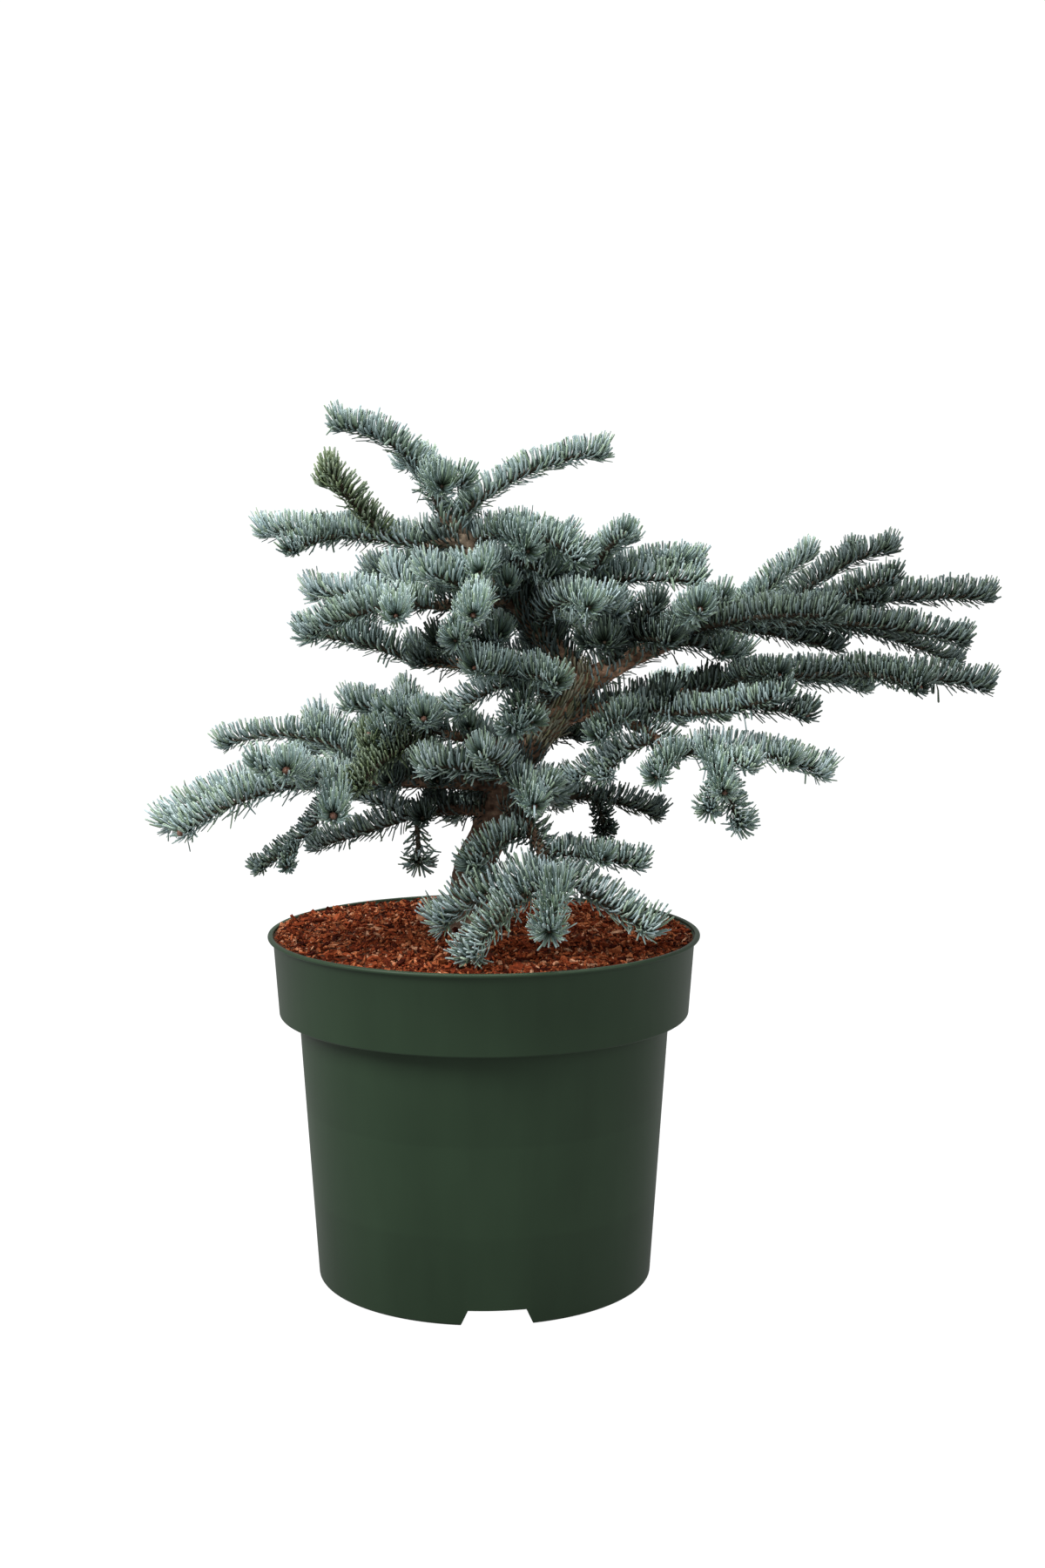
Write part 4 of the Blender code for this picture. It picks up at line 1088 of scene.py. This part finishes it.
def needle_mesh(name, sprays, material, generator):
    """One piece of all the needles of a kind: three-sided blades that taper to a tip."""
    foot, middle, tip, normal = (np.vstack([spray[k] for spray in sprays]) for k in range(4))
    count = len(foot)
    width = NEEDLE_WIDTH * (1 + generator.normal(0, 0.10, count))[:, None]
    rings = []
    for share, scale in zip(NEEDLE_RINGS, RING_WIDTHS):
        centre = foot * (1 - share) ** 2 + middle * 2 * share * (1 - share) + tip * share ** 2
        travel = normalised((middle - foot) * (1 - share) + (tip - middle) * share)
        side = normalised(np.cross(travel, normal))
        keel = np.cross(side, travel)
        rings += [
            centre + side * width * (scale / 2),
            centre - keel * (NEEDLE_THICKNESS * scale),
            centre - side * width * (scale / 2),
        ]
    per = 3 * len(NEEDLE_RINGS) + 1
    points = np.stack(rings + [tip], axis=1).reshape(-1, 3)
    pattern = []
    for ring in range(len(NEEDLE_RINGS) - 1):
        for edge in range(3):
            after = (edge + 1) % 3
            low, high = 3 * ring, 3 * ring + 3
            pattern.append((low + edge, low + after, high + after, high + edge))
    top = per - 4
    caps = [(2, 1, 0)] + [(top + edge, top + (edge + 1) % 3, per - 1) for edge in range(3)]
    base = np.arange(count) * per
    quads = (base[:, None, None] + np.array(pattern)[None]).reshape(-1, 4)
    triangles = (base[:, None, None] + np.array(caps)[None]).reshape(-1, 3)
    values = {
        "along": np.repeat(NEEDLE_RINGS, 3).tolist() + [1.0],
        "keel": [0.0, 1.0, 0.0] * len(NEEDLE_RINGS) + [0.0],
    }
    values = {key: np.tile(np.array(row, dtype=np.float32), count) for key, row in values.items()}
    return mesh_object(name, points, quads, triangles, material, values=values)


def clear_of_plant(spray, limb_points):
    """The spray's needles that don't run through a limb or into the soil or rim."""
    foot, middle, tip, normal = spray
    keep = np.ones(len(foot), bool)
    for place, share in ((tip, 1.0), ((middle + tip) / 2, 0.7)):
        gap = np.linalg.norm(place[:, None] - limb_points[None, :, :3], axis=2) - limb_points[None, :, 3]
        keep &= gap.min(axis=1) > 0.3
    out = np.hypot(tip[:, 0], tip[:, 1])
    floor = np.where(out < COLLAR_LOW_RADIUS - 4, SOIL_TOP + 2.5, POT_HEIGHT + 1.5)
    keep &= (tip[:, 2] > floor) | (out > LIP_RADIUS + 2)
    return tuple(part[keep] for part in spray)


def bud_arrays(centre, aim, radius, length):
    """Pointed ovoid bud whose rows of scales overlap, each row half a scale further round."""
    sides, rings = 2 * BUD_SCALES, 7
    side = aim.orthogonal().normalized()
    other = aim.cross(side)
    points = []
    for ring in range(rings):
        share = (ring + 0.6) / (rings + 0.2)
        width = radius * math.sin(math.pi * share ** 0.8) ** 0.8
        for index in range(sides):
            angle = math.tau * index / sides
            edge = 1.0 if (index + ring) % 2 else 0.84
            out = side * math.cos(angle) + other * math.sin(angle)
            points.append(centre + aim * (share * length) + out * (width * edge))
    points += [centre, centre + aim * length]
    here = np.arange(sides)
    after = (here + 1) % sides
    quads = np.vstack([
        np.column_stack([here + r * sides, after + r * sides, after + (r + 1) * sides, here + (r + 1) * sides])
        for r in range(rings - 1)
    ])
    top = (rings - 1) * sides
    triangles = np.vstack([
        np.column_stack([after, here, np.full(sides, rings * sides)]),
        np.column_stack([here + top, after + top, np.full(sides, rings * sides + 1)]),
    ])
    return np.array([tuple(p) for p in points]), quads, triangles


def inner_twigs(path, first, dice):
    """Short needled twigs on both sides of a bough, which fill the crown's inside."""
    total = sum((b - a).length for a, b in zip(path, path[1:]))
    twigs = []
    place = total * first
    left = dice.choice((-1, 1))
    while place < total:
        share = place / total
        along = (value_at(path, share + 0.05) - value_at(path, share - 0.05)).normalized()
        level = along.cross(UP).normalized() * left
        aim = (along * 0.66 + level * 0.72 + UP * dice.uniform(-0.10, 0.35)).normalized()
        start = value_at(path, share)
        length = dice.uniform(*INNER_TWIG_LENGTH)
        twigs.append(arched(start, start + aim * length, 4, SHOOT_STEP / 2))
        place += INNER_TWIG_STEP * dice.uniform(0.8, 1.2)
        left = -left
    return twigs


def build_foliage(limbs):
    """Twigs, needles and buds of every mass, joined by kind."""
    plans = plan_shoots(limbs)
    dice = random.Random(SEED)
    generator = np.random.default_rng(SEED)
    limb_points = []
    for path, radii in limbs.values():
        points, _, stations = resample(path, 3.0)
        rows = np.array([tuple(point) for point in path])
        travel = np.concatenate([[0.0], np.cumsum(np.linalg.norm(np.diff(rows, axis=0), axis=1))])
        limb_points.append(np.column_stack([points, np.interp(stations, travel, radii)]))
    limb_points = np.vstack(limb_points)
    kinds = list(NEEDLE_KINDS)
    sprays = {kind: [] for kind in kinds}
    twigs, buds = [], []

    def add_spray(path, radii, kind, skip, density, length, pressed=0.0):
        spray = needles_along(path, radii, skip, density, length, generator, pressed)
        if spray is not None:
            sprays[kind].append(clear_of_plant(spray, limb_points))

    def finish_shoot(path, kind, size, root, bud):
        radii = [root + (TWIG_TIP - root) * i / (len(path) - 1) for i in range(len(path))]
        twigs.append(tube_arrays(path, radii, 4.0, 6))
        sprays[kind].append(clear_of_plant(star_needles(path, size, generator), limb_points))
        aim = (path[-1] - path[-2]).normalized()
        if bud:
            radius = bud * dice.uniform(0.85, 1.1)
            buds.append(bud_arrays(path[-1] - aim * 0.8, aim, radius, radius * 2.1))
            for _ in range(dice.randrange(1, 3)):
                aside = Vector((dice.uniform(-1, 1), dice.uniform(-1, 1), dice.uniform(-1, 1)))
                tilt = (aim + aside * 0.9).normalized()
                buds.append(bud_arrays(path[-1] - aim * 1.2, tilt, radius * 0.7, radius * 1.8))

    for name, paths in plans.items():
        limb, share, _ = MASSES[name]
        chances = SPRAY_CHANCES.get(name, MIXED)
        for number, path in enumerate(paths):
            kind = dice.choices(kinds[:3], chances)[0]
            kind = SHOOT_KINDS.get((name, number), kind)
            skip = 2.0 if number or share >= 1.0 else value_at(limbs[limb][1], share) + 1.0
            size = NEEDLE_LENGTH * SHORT_NEEDLES.get(name, 1.0) * dice.uniform(0.92, 1.06)
            size *= SHORT_SHOOTS.get((name, number), 1.0)
            bud = BUD_RADIUS if dice.random() < BUD_CHANCE else 0.0
            if name in BUDS:
                bud = BUDS[name][number]
            density = NEEDLES_PER_MM * SHOOT_DENSITIES.get((name, number), 1.0)
            add_spray(path, (TWIG_ROOT, TWIG_TIP), kind, skip, density, size)
            finish_shoot(path, kind, size, TWIG_ROOT if number else 2.4, bud)
            for twig in side_twigs(path, dice):
                add_spray(twig, (TWIG_TIP, TWIG_TIP), kind, 3.0, NEEDLES_PER_MM, size * 0.9)
                finish_shoot(twig, kind, size * 0.9, TWIG_ROOT * 0.8, 0.0)
    for name in BOUGHS:
        path, radii = limbs[name]
        # Bough and inner-twig needles inside the crown take the shaded chances as painted shade.
        kind = dice.choices(kinds[:3], SHADED)[0]
        add_spray(path, radii, kind, radii[0] + 4.0, BOUGH_NEEDLES_PER_MM, NEEDLE_LENGTH * 0.9)
        if name not in INNER_TWIG_STARTS:
            continue
        for twig in inner_twigs(path, INNER_TWIG_STARTS[name], dice):
            kind = dice.choices(kinds[:3], SHADED)[0]
            add_spray(twig, (TWIG_TIP, TWIG_TIP), kind, radii[-1] + 2.0, BOUGH_NEEDLES_PER_MM, NEEDLE_LENGTH * 0.85)
            finish_shoot(twig, kind, NEEDLE_LENGTH * 0.85, TWIG_ROOT, 0.0)
    path, radii = limbs["trunk"]
    for low, high, density, kind, pressed in TRUNK_NEEDLES:
        shares = [low + (high - low) * step / 12 for step in range(13)]
        part = [value_at(path, share) for share in shares]
        girths = [value_at(radii, share) for share in shares]
        add_spray(part, girths, kind, 0.0, density, NEEDLE_LENGTH, pressed)

    for kind in kinds:
        total = sum(len(spray[0]) for spray in sprays[kind])
        parts = math.ceil(total * 6 * len(NEEDLE_RINGS) / PIECE_TRIANGLES)
        share = math.ceil(len(sprays[kind]) / parts)
        for part in range(parts):
            group = sprays[kind][part * share:(part + 1) * share]
            name = f"needles_{kind}_{part + 1}" if parts > 1 else f"needles_{kind}"
            material = bpy.data.materials.get("needle_" + kind) or needle_material(kind)
            piece = needle_mesh(name, group, material, generator)
            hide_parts(*MASSES)
        print("NEEDLES", kind, total, parts)
    wood = mesh_object("twigs", *joined(twigs), twig_material())
    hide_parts(*MASSES)
    tips = mesh_object("buds", *joined(buds), bud_material())


# Studio.


def seen_or_lit(tree, seen, lit):
    """Strength of a surround that is white to look at and gives less light."""
    light_path = tree.nodes.new("ShaderNodeLightPath")
    strength = add_node(tree, "ShaderNodeMapRange", To_Min=lit, To_Max=seen)
    tree.links.new(light_path.outputs["Is Camera Ray"], strength.inputs["Value"])
    return strength.outputs["Result"]


def build_stage():
    """White floor that runs into a white surround."""
    mesh = bpy.data.meshes.new("studio_floor")
    reach = 30.0
    low = -0.0006
    corners = [(-reach, -reach, low), (reach, -reach, low), (reach, reach, low), (-reach, reach, low)]
    mesh.from_pydata(corners, [], [(0, 1, 2, 3)])
    floor = bpy.data.objects.new("studio_floor", mesh)
    bpy.context.scene.collection.objects.link(floor)
    material, tree, shader = new_material("studio_white", 0.9, 0.0)
    shader.inputs["Base Color"].default_value = (0.10, 0.10, 0.10, 1.0)
    shader.inputs["Emission Color"].default_value = (1.0, 1.0, 1.0, 1.0)
    tree.links.new(seen_or_lit(tree, 1.0, STUDIO_FLOOR), shader.inputs["Emission Strength"])
    mesh.materials.append(material)

    world = bpy.data.worlds.new("studio")
    bpy.context.scene.world = world
    world.use_nodes = True
    tree = world.node_tree
    background = tree.nodes["Background"]
    tree.links.new(seen_or_lit(tree, 1.05, STUDIO_AIR), background.inputs["Strength"])
    background.inputs["Color"].default_value = (1.0, 1.0, 1.0, 1.0)


def area_light(name, place, target, size, power):
    """Square softbox that faces a target."""
    light = bpy.data.lights.new(name, "AREA")
    light.shape = "SQUARE"
    light.size = size
    light.energy = power
    lamp = bpy.data.objects.new(name, light)
    lamp.location = place
    lamp.rotation_euler = (Vector(target) - Vector(place)).to_track_quat("-Z", "Y").to_euler()
    bpy.context.scene.collection.objects.link(lamp)


def build_lights():
    """Large key above the left front, a top light and a weaker fill from the right."""
    area_light("key", (-1.38, -1.02, 1.65), (0.05, 0.0, 0.35), 1.1, 49.0)
    area_light("top", (0.1, 0.2, 1.9), (0.05, 0.0, 0.4), 1.2, 42.0)
    area_light("fill", (1.6, -0.9, 0.8), (0.05, 0.0, 0.3), 1.2, 9.0)


def build_camera():
    """Camera at the height and tilt from which the pot's ellipses show as they do."""
    data = bpy.data.cameras.new("camera")
    data.lens = 50.0
    data.sensor_width = 36.0
    camera = bpy.data.objects.new("camera", data)
    camera.location = (0.0249, -1.394, 0.490)
    camera.rotation_euler = (math.radians(90 - 6.88), 0.0, 0.0)
    bpy.context.scene.collection.objects.link(camera)
    bpy.context.scene.camera = camera


def corners(box):
    """Box as plain lists of numbers."""
    return [[float(value) for value in corner] for corner in box]


bpy.context.scene.view_settings.view_transform = "Standard"
build_camera()
build_lights()
build_stage()
build_pot()
build_mulch()
LIMBS = plan_limbs()
build_limbs(LIMBS)
build_foliage(LIMBS)
